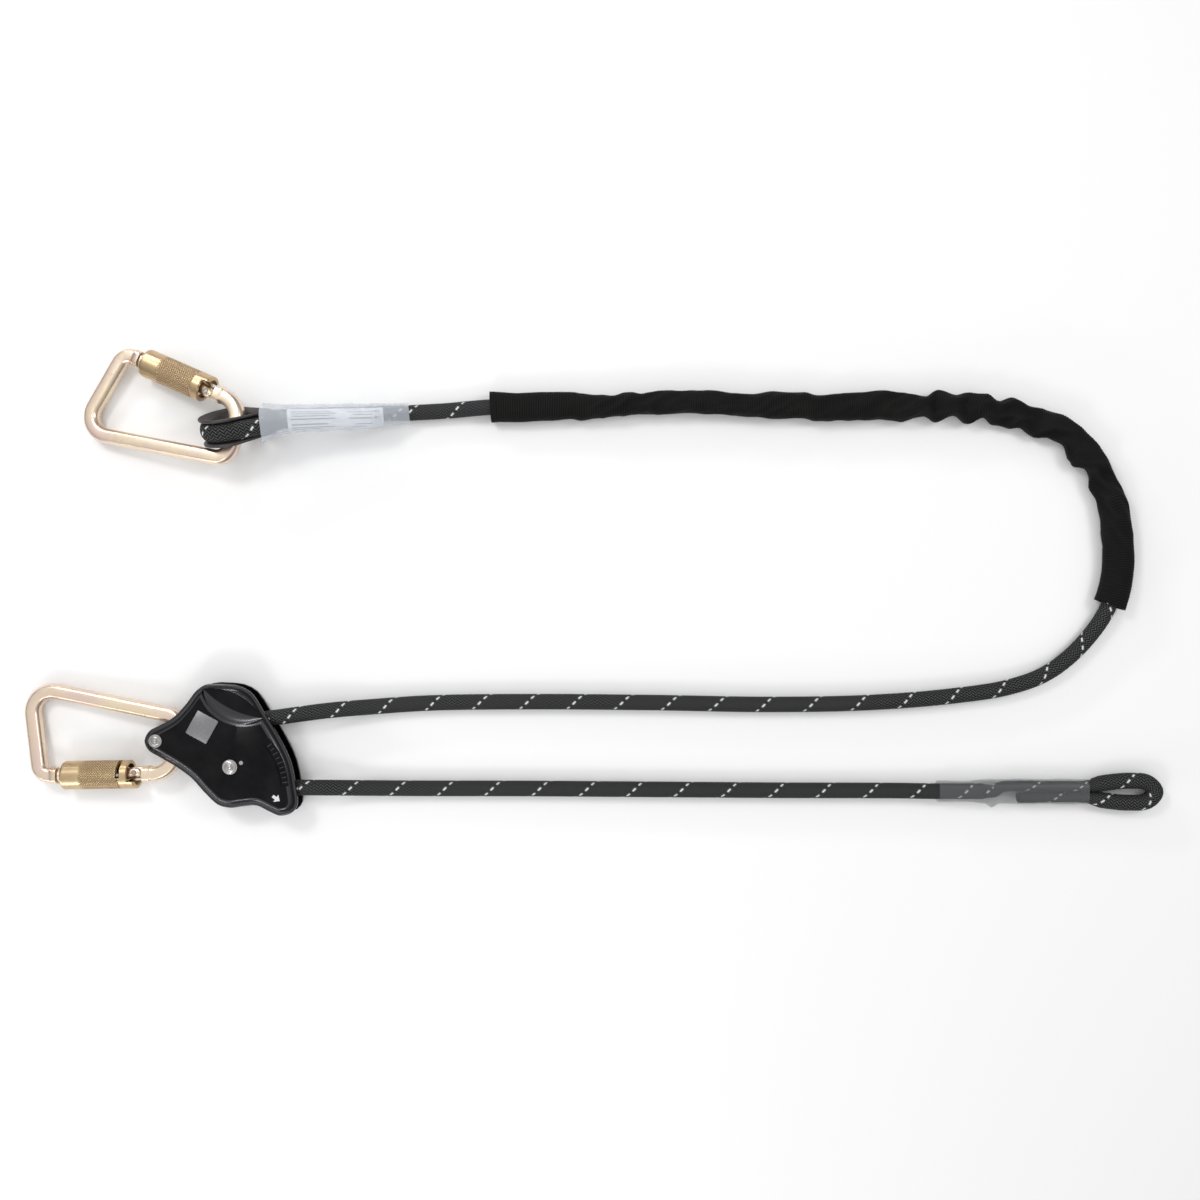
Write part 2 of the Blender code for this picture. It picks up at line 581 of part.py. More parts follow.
def slot_cutter(name, s_from, s_to, half_t):
    rings = []
    for s in (s_from, s_to):
        rings.append([gate_point(s, off, up) for off, up in
                      ((-0.01, -half_t), (0.01, -half_t), (0.01, half_t), (-0.01, half_t))])
    return loft(name, rings, hidden_steel())


def rivet_cylinder(name, radius, half_length, look):
    place = gate_point(HINGE_AT, HINGE_OFF)
    rings = [circle(place + Z * z, radius, X, Y, 14) for z in (-half_length, half_length)]
    return loft(name, rings, look)


def carabiner_gate(name):
    """The gate's bar: slotted for the nose tongue and the hinge tang, and bored for the plunger."""
    rings = [circle(gate_point(GATE_NOSE), GATE_R - 0.0006, ACROSS, Z, 16),
             circle(gate_point(GATE_NOSE + 0.0006), GATE_R, ACROSS, Z, 16),
             circle(gate_point(0.0500), GATE_R, ACROSS, Z, 16)]
    for degrees in (100, 70, 45, 20):
        t = math.radians(degrees)
        place = gate_point(HINGE_AT + 0.0051 * math.cos(t), HINGE_OFF)
        flat = [ACROSS * (0.0051 * math.sin(t) * math.cos(a)) + Z * (0.0050 * math.sin(a))
                for a in (2 * math.pi * (i + 0.5) / 16 for i in range(16))]
        rings.append([place + p for p in flat])
    gate = loft(name, rings, yellow_zinc(), origin=gate_point(HINGE_AT, HINGE_OFF))
    cut(gate, slot_cutter(name + "_nose_slot", -0.0060, 0.0012, 0.0025))
    cut(gate, slot_cutter(name + "_tang_slot", 0.0515, 0.0700, TANG_HALF_T + GAP))
    cut(gate, gate_cylinder(name + "_bore", 0.0400, 0.0530, 0.0020, hidden_steel(), HINGE_OFF, 12))
    cut(gate, rivet_cylinder(name + "_rivet_hole", RIVET_R + GAP, 0.01, hidden_steel()))
    return gate


def locking_sleeve(name):
    """The knurled barrel, cut back on the hinge's inner side, with the guide pin's slot."""
    rings = []
    for i in range(20):
        t = 2 * math.pi * (i + 0.5) / 20
        outward = ACROSS * math.cos(t) + Z * math.sin(t)
        rings.append([gate_point(s) + outward * r for s, r in (
            (SLEEVE_FROM, SLEEVE_BORE_R), (SLEEVE_FROM, SLEEVE_R - 0.0005),
            (SLEEVE_FROM + 0.0005, SLEEVE_R), (SLEEVE_TO - 0.0005, SLEEVE_R),
            (SLEEVE_TO, SLEEVE_R - 0.0005), (SLEEVE_TO, SLEEVE_BORE_R))])
    sleeve = loft(name, rings, yellow_zinc(), looped=True, origin=gate_point(GUIDE_AT))
    step = [[gate_point(s, off, up) for off, up in
             ((-0.013, -0.013), (0.0055, -0.013), (0.0055, 0.013), (-0.013, 0.013))]
            for s in (SLEEVE_FULL_TO, SLEEVE_TO + 0.001)]
    cut(sleeve, loft(name + "_step", step, hidden_steel()))
    slot = []
    for i in range(9):
        t = -math.pi / 2 + math.radians(12) - (SLEEVE_TWIST + math.radians(24)) * i / 8
        outward = ACROSS * math.cos(t) + Z * math.sin(t)
        slot.append([gate_point(s) + outward * r for s, r in (
            (GUIDE_AT - 0.0016, 0.007), (GUIDE_AT + 0.0016, 0.007),
            (GUIDE_AT + 0.0016, 0.013), (GUIDE_AT - 0.0016, 0.013))])
    cut(sleeve, loft(name + "_slot", slot, hidden_steel()))
    return sleeve


def carabiner(prefix, place, swing):
    """All the pieces of one carabiner, drawn flat and then put in place by its empty.

    Its body's origin is where it swings, at the attachment or at the eye."""
    stand = bpy.data.objects.new(prefix + "_carabiner_place", None)
    bpy.context.scene.collection.objects.link(stand)
    before = set(bpy.data.objects)
    body = loft(prefix + "_carabiner_body", body_rings(), yellow_zinc(), origin=swing)
    cut(body, rivet_cylinder(prefix + "_tang_hole", RIVET_R + GAP, 0.01, hidden_steel()))
    rivet_cylinder(prefix + "_gate_rivet", RIVET_R, 0.0050, bright_steel())
    carabiner_gate(prefix + "_gate")
    gate_cylinder(prefix + "_gate_plunger", 0.0482, 0.0529, 0.0017, hidden_steel(), HINGE_OFF, 12)
    coil(prefix + "_gate_spring", gate_point(0.0408, HINGE_OFF), ALONG, 0.0013, 0.0003, 4, 0.0068,
         hidden_steel(), 7, 4)
    locking_sleeve(prefix + "_locking_sleeve")
    coil(prefix + "_sleeve_spring", gate_point(0.0080), ALONG, 0.0070, 0.0005, 4, 0.0110,
         hidden_steel(), 9, 4)
    rings = [circle(gate_point(GUIDE_AT, 0, -up), GUIDE_R, ALONG, ACROSS, 10)
             for up in (GATE_R + GAP, SLEEVE_R - 0.0006)]
    loft(prefix + "_guide_pin", rings, bright_steel())
    for obj in set(bpy.data.objects) - before:
        obj.parent = stand
    stand.matrix_world = place


def placed(origin, heading, rise, roll, flipped=False):
    """Lays a carabiner down: turned in plan, its narrow end raised, then rolled about its spine."""
    turn = Matrix.Rotation(heading, 4, "Z") @ Matrix.Rotation(-rise, 4, "Y")
    turn = turn @ Matrix.Rotation(roll + (math.pi if flipped else 0), 4, "X")
    return Matrix.Translation(origin) @ turn


# ---- Anchor eye --------------------------------------------------------------------------------

EYE_TURN = Matrix.Rotation(EYE_HEADING, 3, "Z") @ Matrix.Rotation(EYE_LEAN, 3, "X")
EYE_LONG, EYE_AXIS, EYE_UP = (EYE_TURN @ v for v in (X, Y, Z))


def eye_point(along, up, side=0.0):
    return EYE_CENTRE + EYE_LONG * along + EYE_UP * up + EYE_AXIS * side


def teardrop(radius, apex, apex_r, count):
    """A round end at the origin with straight sides to a small rounded apex: (point, outward)."""
    spread = math.acos((radius - apex_r) / apex)
    made = []
    for i in range(count + 1):
        t = spread + (2 * math.pi - 2 * spread) * i / count
        made.append((radius * math.cos(t), radius * math.sin(t), t))
    for i in range(5):
        t = -spread + 2 * spread * i / 4
        made.append((apex + apex_r * math.cos(t), apex_r * math.sin(t), t))
    return made


def thimble():
    """A plastic channel bent to a teardrop: its section flares to two flanges."""
    half = [(0.0009, 0.0048), (0.0022, 0.0078), (0.0074, 0.0080), (0.0100, 0.0086), (0.0101, 0.0108)]
    inner = [(0.0080, 0.0106), (0.0030, 0.0080), (0.0000, 0.0045)]
    section = [(r, -h) for r, h in reversed(half)] + half + inner
    section += [(-0.0012, 0.0)] + [(r, -h) for r, h in reversed(inner)]
    rings = []
    for x, y, t in teardrop(THIMBLE_FLOOR_R, THIMBLE_APEX, 0.0030, 18):
        reach = 1.0 if x < 0.004 else max(0.30, 1.0 - (x - 0.004) / 0.036)
        narrow = 1.0 if x < 0.004 else 1.0 - 0.14 * (x - 0.004) / 0.028
        ring = []
        for r, h in section:
            out = r * reach if r > 0.001 else r
            ring.append(eye_point(x + out * math.cos(t), y + out * math.sin(t), h * narrow))
        rings.append(ring)
    return loft("anchor_thimble", rings, thimble_plastic(), looped=True)


def eye_rope_route():
    """Centreline of the eye: out along the ground side, round the thimble, back on top."""
    lower_throat, upper_throat = eye_point(THROAT, -STRAND_OFF), eye_point(THROAT, STRAND_OFF)
    end = COVER_END
    level = end - lower_throat
    points = [end, end - X * 0.004, lower_throat + level * 0.5, lower_throat,
              eye_point(0.0270, -0.0125)]
    for i in range(9):
        t = math.radians(-78 - 204 * i / 8)
        points.append(eye_point(EYE_ROPE_R * math.cos(t), EYE_ROPE_R * math.sin(t)))
    points += [eye_point(0.0270, 0.0125), upper_throat, upper_throat + level * UPPER_STRAND_SHARE / 2,
               upper_throat + level * UPPER_STRAND_SHARE]
    return points


def anchor_eye_rope():
    """The rope of the eye, round in the splice and flattened in the thimble's groove."""
    points = evenly(smooth_curve(eye_rope_route(), 6), 0.0080)
    rings = []
    for i, p in enumerate(points):
        ahead = (points[min(i + 1, len(points) - 1)] - points[max(i - 1, 0)]).normalized()
        side = (EYE_AXIS - ahead * EYE_AXIS.dot(ahead)).normalized()
        up = ahead.cross(side)
        from_round = max(0.0, (p - EYE_CENTRE).dot(EYE_LONG) - 0.006) / 0.030
        flat = max(0.0, 1.0 - from_round)
        wide, deep = 0.0060 + 0.0014 * flat, 0.0059 - 0.0012 * flat
        rings.append([p + side * wide * math.cos(t) + up * deep * math.sin(t)
                      for t in (2 * math.pi * j / 10 for j in range(10))])
    return loft("anchor_eye_rope", rings, rope_black())


def squarish(value, power):
    return math.copysign(abs(value) ** power, value)


def hollow_sleeve(name, frames, outer, inner, look, power=1.0):
    """A tube with a wall: outer and inner are (half width, half height) at each (centre, side, up).

    A power of 1 gives an oval, and a lower one squares its corners."""
    rings = []
    for sizes, order in ((outer, range(len(frames))), (inner, reversed(range(len(frames))))):
        for i in order:
            (centre, side, up), (wide, high) = frames[i], sizes[i]
            rings.append([centre + side * wide * squarish(math.cos(t), power)
                          + up * high * squarish(math.sin(t), power)
                          for t in (2 * math.pi * (j + 0.5) / COVER_SIDES for j in range(COVER_SIDES))])
    return loft(name, rings, look, looped=True)


def cover_frames(stations):
    """Centre, side and up at each share of the way from the thimble to the cover's end."""
    start, throat = eye_point(COVER_FROM, 0), eye_point(THROAT, 0)
    along = (COVER_END - start).normalized()
    side = EYE_UP.cross(along).normalized()
    up = along.cross(side)
    frames = []
    for share in stations:
        beyond = (share - THROAT_SHARE) / (1 - THROAT_SHARE)
        centre = start.lerp(throat, share / THROAT_SHARE)
        if beyond > 0:
            lift = EYE_UP * STRAND_OFF * min(1.0, (1 - beyond) / 0.3)
            centre = eye_point(THROAT, -STRAND_OFF).lerp(COVER_END, beyond) + lift
        frames.append((centre, side, up))
    return frames


def anchor_eye_cover():
    """The clear tube over the splice: wide at the thimble and close round the rope at the end."""
    frames = cover_frames([share for share, _, _ in COVER_STATIONS])
    outer = [(wide, high) for _, wide, high in COVER_STATIONS]
    inner = [(wide - COVER_WALL, high - COVER_WALL) for wide, high in outer]
    return hollow_sleeve("anchor_eye_cover", frames, outer, inner, clear_film(), COVER_POWER)


def anchor_eye_label():
    """A printed strip inside the cover, bent as the cover's upper side is."""
    over = [90 + 360 / COVER_SIDES * k for k in (-2, -1, 0, 1, 2)]
    stations = [s for s in COVER_STATIONS if LABEL_SHARES[0] <= s[0] <= LABEL_SHARES[1]]
    rings = []
    for (centre, side, up), (_, wide, high) in zip(cover_frames([s[0] for s in stations]), stations):
        ring = []
        for depth, degrees in ((COVER_WALL + GAP, over), (COVER_WALL + 2 * GAP, reversed(over))):
            for t in map(math.radians, degrees):
                ring.append(centre + side * (wide - depth) * squarish(math.cos(t), COVER_POWER)
                            + up * (high - depth) * squarish(math.sin(t), COVER_POWER))
        rings.append(ring)
    return loft("anchor_eye_label", rings, label_paper())


# ---- Lanyard -----------------------------------------------------------------------------------


def frames_along(points):
    """(place, side, up) at each point of a line that runs near the ground."""
    frames = []
    for i, p in enumerate(points):
        ahead = (points[min(i + 1, len(points) - 1)] - points[max(i - 1, 0)]).normalized()
        side = Z.cross(ahead).normalized()
        frames.append((p, side, ahead.cross(side)))
    return frames


def load_line():
    return evenly(smooth_curve(LOAD_ROUTE, 10), ROPE_STEP) + [LOAD_MOUTH + MOUTH_WAY * GAP]


def load_rope():
    tube("load_rope", load_line(), ROPE_R, rope_black(), 2)


def protective_sleeve():
    """Tubular webbing round the load rope: it follows the rope's own points."""
    line = load_line()
    frames = [f for i, f in enumerate(frames_along(line))
              if (p := line[i]).y > WEB_TO_Y and p.x > WEB_FROM_X]
    outer = [(WEB_HALF_W, WEB_HALF_H)] * len(frames)
    inner = [(WEB_HALF_W - WEB_WALL, WEB_HALF_H - WEB_WALL)] * len(frames)
    hollow_sleeve("protective_sleeve", frames, outer, inner, webbing_black())


def tail_rope():
    line = [TAIL_MOUTH + X * GAP] + evenly(smooth_curve(TAIL_ROUTE, 10), ROPE_STEP)
    tube("tail_rope", line, ROPE_R, rope_black(), 2)


def tail_eye_rope():
    """The tail's end doubled back into a small flat eye; its two strands are pressed together."""
    def at(x, off):
        return Vector((x, TAIL_Y + off, TAIL_LIE))

    half = [at(0.6200, 0.0046), at(0.6740, 0.0046), at(0.6900, 0.0072), at(0.7080, 0.0087),
            at(0.7225, 0.0072)]
    back = [at(p.x, TAIL_Y - p.y) for p in reversed(half)]
    start = Vector((TAIL_ROPE_TO + 2 * GAP, -0.0218, TAIL_LIE))
    lead = [start, start + X * 0.0040, start + X * 0.0080, at(0.6060, 0.0036)]
    route = lead + half + [at(0.7285, 0)] + back
    points = evenly(smooth_curve(route, 6), 0.0080)
    rings = []
    for p, side, up in frames_along(points):
        doubled = min(1.0, max(0.0, (p.x - 0.5880) / 0.018))
        apart = min(1.0, max(0.0, (p.x - 0.6770) / 0.018))
        wide = 0.0062 - 0.0020 * doubled + 0.0022 * apart
        rings.append([p + side * wide * math.cos(t) + up * 0.0062 * math.sin(t)
                      for t in (2 * math.pi * j / 10 for j in range(10))])
    return loft("tail_eye_rope", rings, rope_black())


def tail_eye_cover():
    places = [(0.0, 0.0082), (0.22, 0.0084), (0.36, 0.0098), (1.0, 0.0100)]
    frames, outer, inner = [], [], []
    for share, wide in places:
        x = TAIL_COVER_FROM + (TAIL_COVER_TO - TAIL_COVER_FROM) * share
        frames.append((Vector((x, TAIL_Y + 0.0004 * (1 - share), TAIL_LIE)), Y, Z))
        outer.append((wide, TAIL_LIE - 0.0001))
        inner.append((wide - 0.0007, TAIL_LIE - 0.0008))
    hollow_sleeve("tail_eye_cover", frames, outer, inner, clear_film(), COVER_POWER)


def build():
    clear_scene()
    housing()
    pins()
    cam_group()
    anvil()
    rope_in_housing()
    carabiner("grab", placed(*GRAB_CARABINER, flipped=True), GRAB_SWING)
    carabiner("anchor", placed(*ANCHOR_CARABINER), ANCHOR_SWING)
    thimble()
    anchor_eye_rope()
    anchor_eye_cover()
    anchor_eye_label()
    load_rope()
    protective_sleeve()
    tail_rope()
    tail_eye_rope()
    tail_eye_cover()


build()
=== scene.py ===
"""Looks of the rope grab lanyard: braided rope, webbing sleeve, clear covers, plated carabiners
and the anodised adjuster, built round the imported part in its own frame. Metres, +Z up."""

import math

import bmesh
import bpy
import numpy as np
from mathutils import Matrix, Vector, noise


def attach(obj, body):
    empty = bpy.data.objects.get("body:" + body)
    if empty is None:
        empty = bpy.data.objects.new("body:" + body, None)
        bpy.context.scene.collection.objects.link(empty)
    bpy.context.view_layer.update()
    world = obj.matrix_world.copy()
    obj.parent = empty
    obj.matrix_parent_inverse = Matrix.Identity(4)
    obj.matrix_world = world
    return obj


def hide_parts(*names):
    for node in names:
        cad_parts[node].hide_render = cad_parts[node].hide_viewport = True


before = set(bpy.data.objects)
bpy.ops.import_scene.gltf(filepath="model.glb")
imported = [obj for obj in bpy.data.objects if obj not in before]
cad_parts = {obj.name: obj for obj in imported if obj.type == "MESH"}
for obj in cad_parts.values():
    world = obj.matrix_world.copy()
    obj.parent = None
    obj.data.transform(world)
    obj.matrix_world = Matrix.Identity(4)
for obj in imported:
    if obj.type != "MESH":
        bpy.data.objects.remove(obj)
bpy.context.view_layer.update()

X, Y, Z = Vector((1, 0, 0)), Vector((0, 1, 0)), Vector((0, 0, 1))
GAP = 0.0003

# Rope: the sheath is braided from two families of strands, some of them tracers
ROPE_R = 0.00625
ROPE_LIE = ROPE_R + 0.0002
SQUEEZED_R = ROPE_R * 0.84  # inside the webbing
CARRIERS = 16  # strands of each family
BRAID_ROW = 0.00234  # strand spacing along the rope
BRAID_STEP, BRAID_SIDES = BRAID_ROW / 4, 4 * CARRIERS
STRAND_HEIGHT = 0.00040
# The paler colour is a painted highlight on the crest of each strand; the black and the tracer are the
# yarns' own.
BLACK_YARN, CREST_PAINTED_HIGHLIGHT = (0.0015, 0.0015, 0.0016), (0.130, 0.133, 0.136)
TRACER_YARN = (0.74, 0.76, 0.73)

# Webbing sleeve
WEB_LIE = 0.0084
WEB_FROM_X, WEB_TO_Y = 0.2010, 0.1260
RIB_PITCH, RIB_HEIGHT, WEB_SIDES = 0.00185, 0.00024, 60
# (distance along the sleeve, half width to its left, to its right) in millimetres: it's crumpled
WEB_EDGES = [
    (0, 12.0, 12.0), (24, 10.0, 13.0), (48, 10.4, 12.3), (64, 10.0, 11.0), (72, 9.0, 12.8),
    (88, 7.4, 10.6), (96, 7.0, 10.0), (112, 9.8, 8.6), (120, 7.8, 7.8), (134, 10.6, 8.4), (152, 9.6, 7.8),
    (176, 9.9, 8.9), (192, 7.6, 9.6), (204, 7.0, 10.5), (224, 10.4, 11.5), (248, 9.9, 10.4),
    (258, 7.6, 13.2), (274, 8.8, 12.4), (296, 9.6, 12.4), (312, 11.2, 12.0), (326, 9.4, 13.2),
    (344, 6.4, 8.8), (354, 12.2, 13.0), (368, 8.8, 7.8), (380, 13.0, 13.0), (392, 12.4, 6.4),
    (401, 9.6, 10.6), (412, 13.8, 11.0), (424, 9.2, 8.4), (436, 11.4, 11.8), (450, 14.2, 7.4),
    (462, 13.0, 6.0), (475, 12.6, 12.8), (481, 12.2, 13.6), (493, 10.0, 6.6), (507, 11.4, 12.8),
    (520, 11.5, 11.5), (536, 11.3, 11.8), (552, 11.5, 12.8), (576, 12.4, 12.0), (604, 12.6, 12.2),
    (640, 12.6, 12.2),
]

# Housing
PLATE_T, PLATE_GAP = 0.0065, 0.015
HOUSING_T = 2 * PLATE_T + PLATE_GAP
MIDDLE_Z = HOUSING_T / 2
HOUSING_OUTLINE = [
    (-0.0676, 0.0200), (-0.0640, 0.0275), (-0.0560, 0.0320), (-0.0450, 0.0385), (-0.0355, 0.0484),
    (-0.0275, 0.0588), (-0.0200, 0.0639), (-0.0080, 0.0644), (0.0050, 0.0630), (0.0155, 0.0574),
    (0.0252, 0.0429), (0.0384, 0.0211), (0.0466, 0.0032), (0.0503, -0.0150), (0.0515, -0.0300),
    (0.0470, -0.0363), (0.0384, -0.0384), (0.0300, -0.0352), (0.0200, -0.0305), (0.0100, -0.0310),
    (0.0000, -0.0322), (-0.0100, -0.0299), (-0.0200, -0.0210), (-0.0310, -0.0090), (-0.0420, -0.0008),
    (-0.0560, 0.0075), (-0.0645, 0.0128),
]
# (height above the plate's inner face, inset from the outline)
PLATE_LEVELS = [(0.0, 0.0004), (0.0004, 0.0), (0.0026, 0.0), (0.0030, 0.0003), (0.0032, 0.0010),
                (0.0033, 0.0018), (0.0037, 0.0022), (0.0046, 0.0030), (0.0055, 0.0040),
                (0.0061, 0.0050), (0.0064, 0.0057), (PLATE_T, 0.0064)]
PIVOT_HEAD_R, ATTACHMENT_HEAD_R = 0.0060, 0.00525
ATTACHMENT_XY, SPRING_PIN_XY = (-0.0580, 0.0202), (0.0088, 0.0033)
BADGE_XY, BADGE_SIZE, BADGE_TURN, BADGE_DEPTH = (-0.0216, 0.0312), (0.0184, 0.0200), -29, 0.0010
SCALLOP_ENDS = ((-0.0230, 0.0613), (0.0265, 0.0370))
SCALLOP_TOP, SCALLOP_BOTTOM, SCALLOP_DEPTH = (0.0060, 0.0562), (-0.0045, 0.0362), 0.0032
PANEL_ENDS, PANEL_MIDDLE = ((0.0282, 0.0200), (0.0432, -0.0150)), (0.0385, 0.0040)
PANEL_HALF_W, PANEL_DEPTH, TICKS = 0.0034, 0.0008, 9
ARROW_XY, ARROW_TURN = (0.0362, -0.0244), 55
BEVEL_DEPTH = 0.0042  # how far below the face the machined bevels reach
LOAD_MOUTH = Vector((0.0293, 0.0369, MIDDLE_Z))
MOUTH_WAY = Vector((1, 0.14, 0)).normalized()
TAIL_MOUTH = Vector((0.0514, -0.0179, MIDDLE_Z))
TURN_XY, TURN_R = (0.0, 0.006), 0.022

# Carabiner, drawn flat: x along the spine from the wide end, y from the spine to the gate
BAR_HALF_W, BAR_HALF_T = 0.0060, 0.0054
BODY_CORNERS = [((0.0062, 0.0733), 0.0100), ((-0.0184, 0.0060), 0.0160), ((0.1090, 0.0060), 0.0120),
                ((0.1090, 0.0507), 0.0180)]
GATE_START = Vector((0.0250, 0.0692))
GATE_TURN = math.atan2(BODY_CORNERS[3][0][1] - BODY_CORNERS[0][0][1],
                       BODY_CORNERS[3][0][0] - BODY_CORNERS[0][0][0])
ALONG = Vector((math.cos(GATE_TURN), math.sin(GATE_TURN), 0))
ACROSS = Vector((-ALONG.y, ALONG.x, 0))
TONGUE_TIP, NOSE_FACE, NOSE_BACK = -0.0015, -0.0052, -0.0098
HINGE_AT, LUG_FACE, LUG_BACK, HINGE_OFF = 0.0578, 0.0636, 0.0700, -0.0015
SLEEVE_FROM, SLEEVE_FULL_TO, SLEEVE_TO = 0.0006, 0.0535, 0.0592
KNURL_FROM, KNURL_TO, KNURL_PITCH, KNURL_DEPTH = 0.0165, 0.0470, 0.0020, 0.00040
# The barrel's plate colour, and the painted shade for the bottoms of the knurls' grooves.
BARREL_GOLD, GROOVE_PAINTED_SHADE = (0.60, 0.465, 0.28), (0.13, 0.090, 0.045)
TANG_R, TANG_HALF_T = 0.0046, 0.0025
SLEEVE_R, SLEEVE_BORE_R, GUIDE_AT = 0.0112, 0.0086, 0.0470
SLEEVE_TWIST = math.radians(75)
GRAB_CARABINER = (Vector((-0.1462, 0.0640, 0.0062)), -11.04, 3.8, -3.2 + 180)
ANCHOR_CARABINER = (Vector((-0.1083, 0.2547, 0.0083)), -11.37, 8.6, 0.0)

# Anchor eye
EYE_CENTRE = Vector((-0.0014, 0.2650, 0.0243))
EYE_HEADING, EYE_LEAN = math.radians(8), math.radians(22)
THIMBLE_FLOOR_R, THIMBLE_APEX, EYE_ROPE_R = 0.0114, 0.0290, 0.0175
COVER_END = Vector((0.1364, 0.2784, 0.0079))
COVER_FROM, THROAT, STRAND_OFF = 0.0260, 0.0480, 0.0066
COVER_STATIONS = [(0.00, 0.0138, 0.0208), (0.07, 0.0124, 0.0186), (0.14, 0.0108, 0.0166),
                  (0.22, 0.0100, 0.0152), (0.40, 0.0096, 0.0144), (0.58, 0.0093, 0.0143),
                  (0.76, 0.0090, 0.0142), (0.88, 0.0083, 0.0106), (1.00, 0.0078, 0.0079)]
COVER_WALL, SQUARENESS, COVER_SIDES = 0.0009, 0.66, 48  # the covers' sections lie between oval and square
THROAT_SHARE, UPPER_STRAND_SHARE = 0.20, 0.62
LABEL_SHARES = (0.19, 0.83)

# Routes of the rope at its centreline
LOAD_ROUTE = [
    COVER_END + Vector((GAP, 0, 0)), (0.1660, 0.2802, 0.0070), (0.1960, 0.2826, WEB_LIE),
    (0.2300, 0.2842, WEB_LIE), (0.2960, 0.2848, WEB_LIE), (0.3920, 0.2860, WEB_LIE),
    (0.4560, 0.2845, WEB_LIE), (0.5190, 0.2850, WEB_LIE), (0.5820, 0.2820, WEB_LIE),
    (0.6312, 0.2719, WEB_LIE), (0.6690, 0.2498, WEB_LIE), (0.6918, 0.2130, WEB_LIE),
    (0.6992, 0.1700, WEB_LIE), (0.6930, 0.1290, WEB_LIE), (0.6740, 0.0980, ROPE_LIE),
    (0.6450, 0.0730, ROPE_LIE), (0.6140, 0.0610, ROPE_LIE), (0.5660, 0.0535, ROPE_LIE),
    (0.5020, 0.0485, ROPE_LIE), (0.4230, 0.0470, ROPE_LIE), (0.3280, 0.0485, ROPE_LIE),
    (0.2330, 0.0492, ROPE_LIE), (0.1540, 0.0482, ROPE_LIE), (0.1060, 0.0452, ROPE_LIE + 0.0015),
    (0.0720, 0.0425, ROPE_LIE + 0.0050), LOAD_MOUTH + MOUTH_WAY * 0.0080, LOAD_MOUTH + MOUTH_WAY * GAP,
]
TAIL_COVER_FROM, TAIL_COVER_TO = 0.5560, 0.6740
TAIL_ROPE_TO = TAIL_COVER_FROM + 0.0360
TAIL_Y, TAIL_LIE = -0.0222, 0.0076
NUB_X, NUB_HEIGHT, NUB_SPREAD = 0.5985, 0.0030, 0.0030  # the small nub on the tail cover
TAIL_ROUTE = [
    TAIL_MOUTH + X * GAP, TAIL_MOUTH + X * 0.0080, (0.0950, -0.0190, ROPE_LIE + 0.0022),
    (0.1400, -0.0196, ROPE_LIE + 0.0002), (0.2300, -0.0198, ROPE_LIE), (0.3300, -0.0205, ROPE_LIE),
    (0.4300, -0.0212, ROPE_LIE), (0.5200, -0.0214, ROPE_LIE + 0.0004),
    (TAIL_COVER_FROM, -0.0218, TAIL_LIE), (TAIL_ROPE_TO - 0.006, -0.0218, TAIL_LIE),
    (TAIL_ROPE_TO, -0.0218, TAIL_LIE),
]


# ---- Camera ----


def placed(name, data):
    """A new object in the scene."""
    obj = bpy.data.objects.new(name, data)
    bpy.context.scene.collection.objects.link(obj)
    return obj


def camera():
    """Straight down from a metre up, over the middle of the lanyard."""
    lens = bpy.data.cameras.new("camera")
    lens.sensor_width, lens.lens = 36, 37.5
    holder = placed("camera", lens)
    holder.location = (0.288, 0.130, 1.0)
    bpy.context.scene.camera = holder


# ---- Curves and meshes ----


def smooth_curve(points, per_span, closed=False):
    """Points on a Catmull-Rom curve through the given points."""
    points = [Vector(p) for p in points]
    n = len(points)
    made = []
    for i in range(n if closed else n - 1):
        if closed:
            a, b, c, d = (points[(i + k) % n] for k in (-1, 0, 1, 2))
        else:
            b, c = points[i], points[i + 1]
            a = points[i - 1] if i else b - (c - b)
            d = points[i + 2] if i + 2 < n else c + (c - b)
        ends = [0.0]
        for p, q in ((a, b), (b, c), (c, d)):
            ends.append(ends[-1] + max((q - p).length, 1e-9) ** 0.5)
        for j in range(per_span):
            t = ends[1] + (ends[2] - ends[1]) * j / per_span
            ab, bc, cd = (p.lerp(q, (t - ends[k]) / (ends[k + 1] - ends[k]))
                          for k, (p, q) in enumerate(((a, b), (b, c), (c, d))))
            abc, bcd = (p.lerp(q, (t - ends[k]) / (ends[k + 2] - ends[k]))
                        for k, (p, q) in enumerate(((ab, bc), (bc, cd))))
            made.append(abc.lerp(bcd, (t - ends[1]) / (ends[2] - ends[1])))
    return made if closed else made + [points[-1]]


def lengths_of(line):
    """Distance of each point of a line from its start."""
    return np.concatenate([[0], np.cumsum(np.linalg.norm(np.diff(line, axis=0), axis=1))])


def evenly(points, step):
    """The same line as an array, with its points at equal distances of about the step."""
    line = np.array([tuple(p) for p in points])
    at = lengths_of(line)
    wanted = np.linspace(0, at[-1], max(2, round(at[-1] / step)) + 1)
    return np.stack([np.interp(wanted, at, line[:, k]) for k in range(3)], axis=1)


def full_turn(count):
    """Angles evenly round a circle."""
    return np.arange(count) * 2 * math.pi / count


def unit(rows):
    return rows / np.linalg.norm(rows, axis=-1, keepdims=True)


def frames_of(line, lean):
    """(ahead, side, up) at each point, with side kept as near to lean as it can be."""
    ahead = unit(np.gradient(line, axis=0))
    lean = np.broadcast_to(np.array(lean, float), line.shape)
    side = unit(lean - ahead * np.sum(lean * ahead, axis=1, keepdims=True))
    return ahead, side, np.cross(ahead, side)


def colour_points(mesh, colours):
    """Holds a colour at every point, for the material to read."""
    layer = mesh.color_attributes.new("yarn", "FLOAT_COLOR", "POINT")
    values = np.ones((len(mesh.vertices), 4), np.float32)
    values[:, :3] = colours
    layer.data.foreach_set("color", values.reshape(-1))


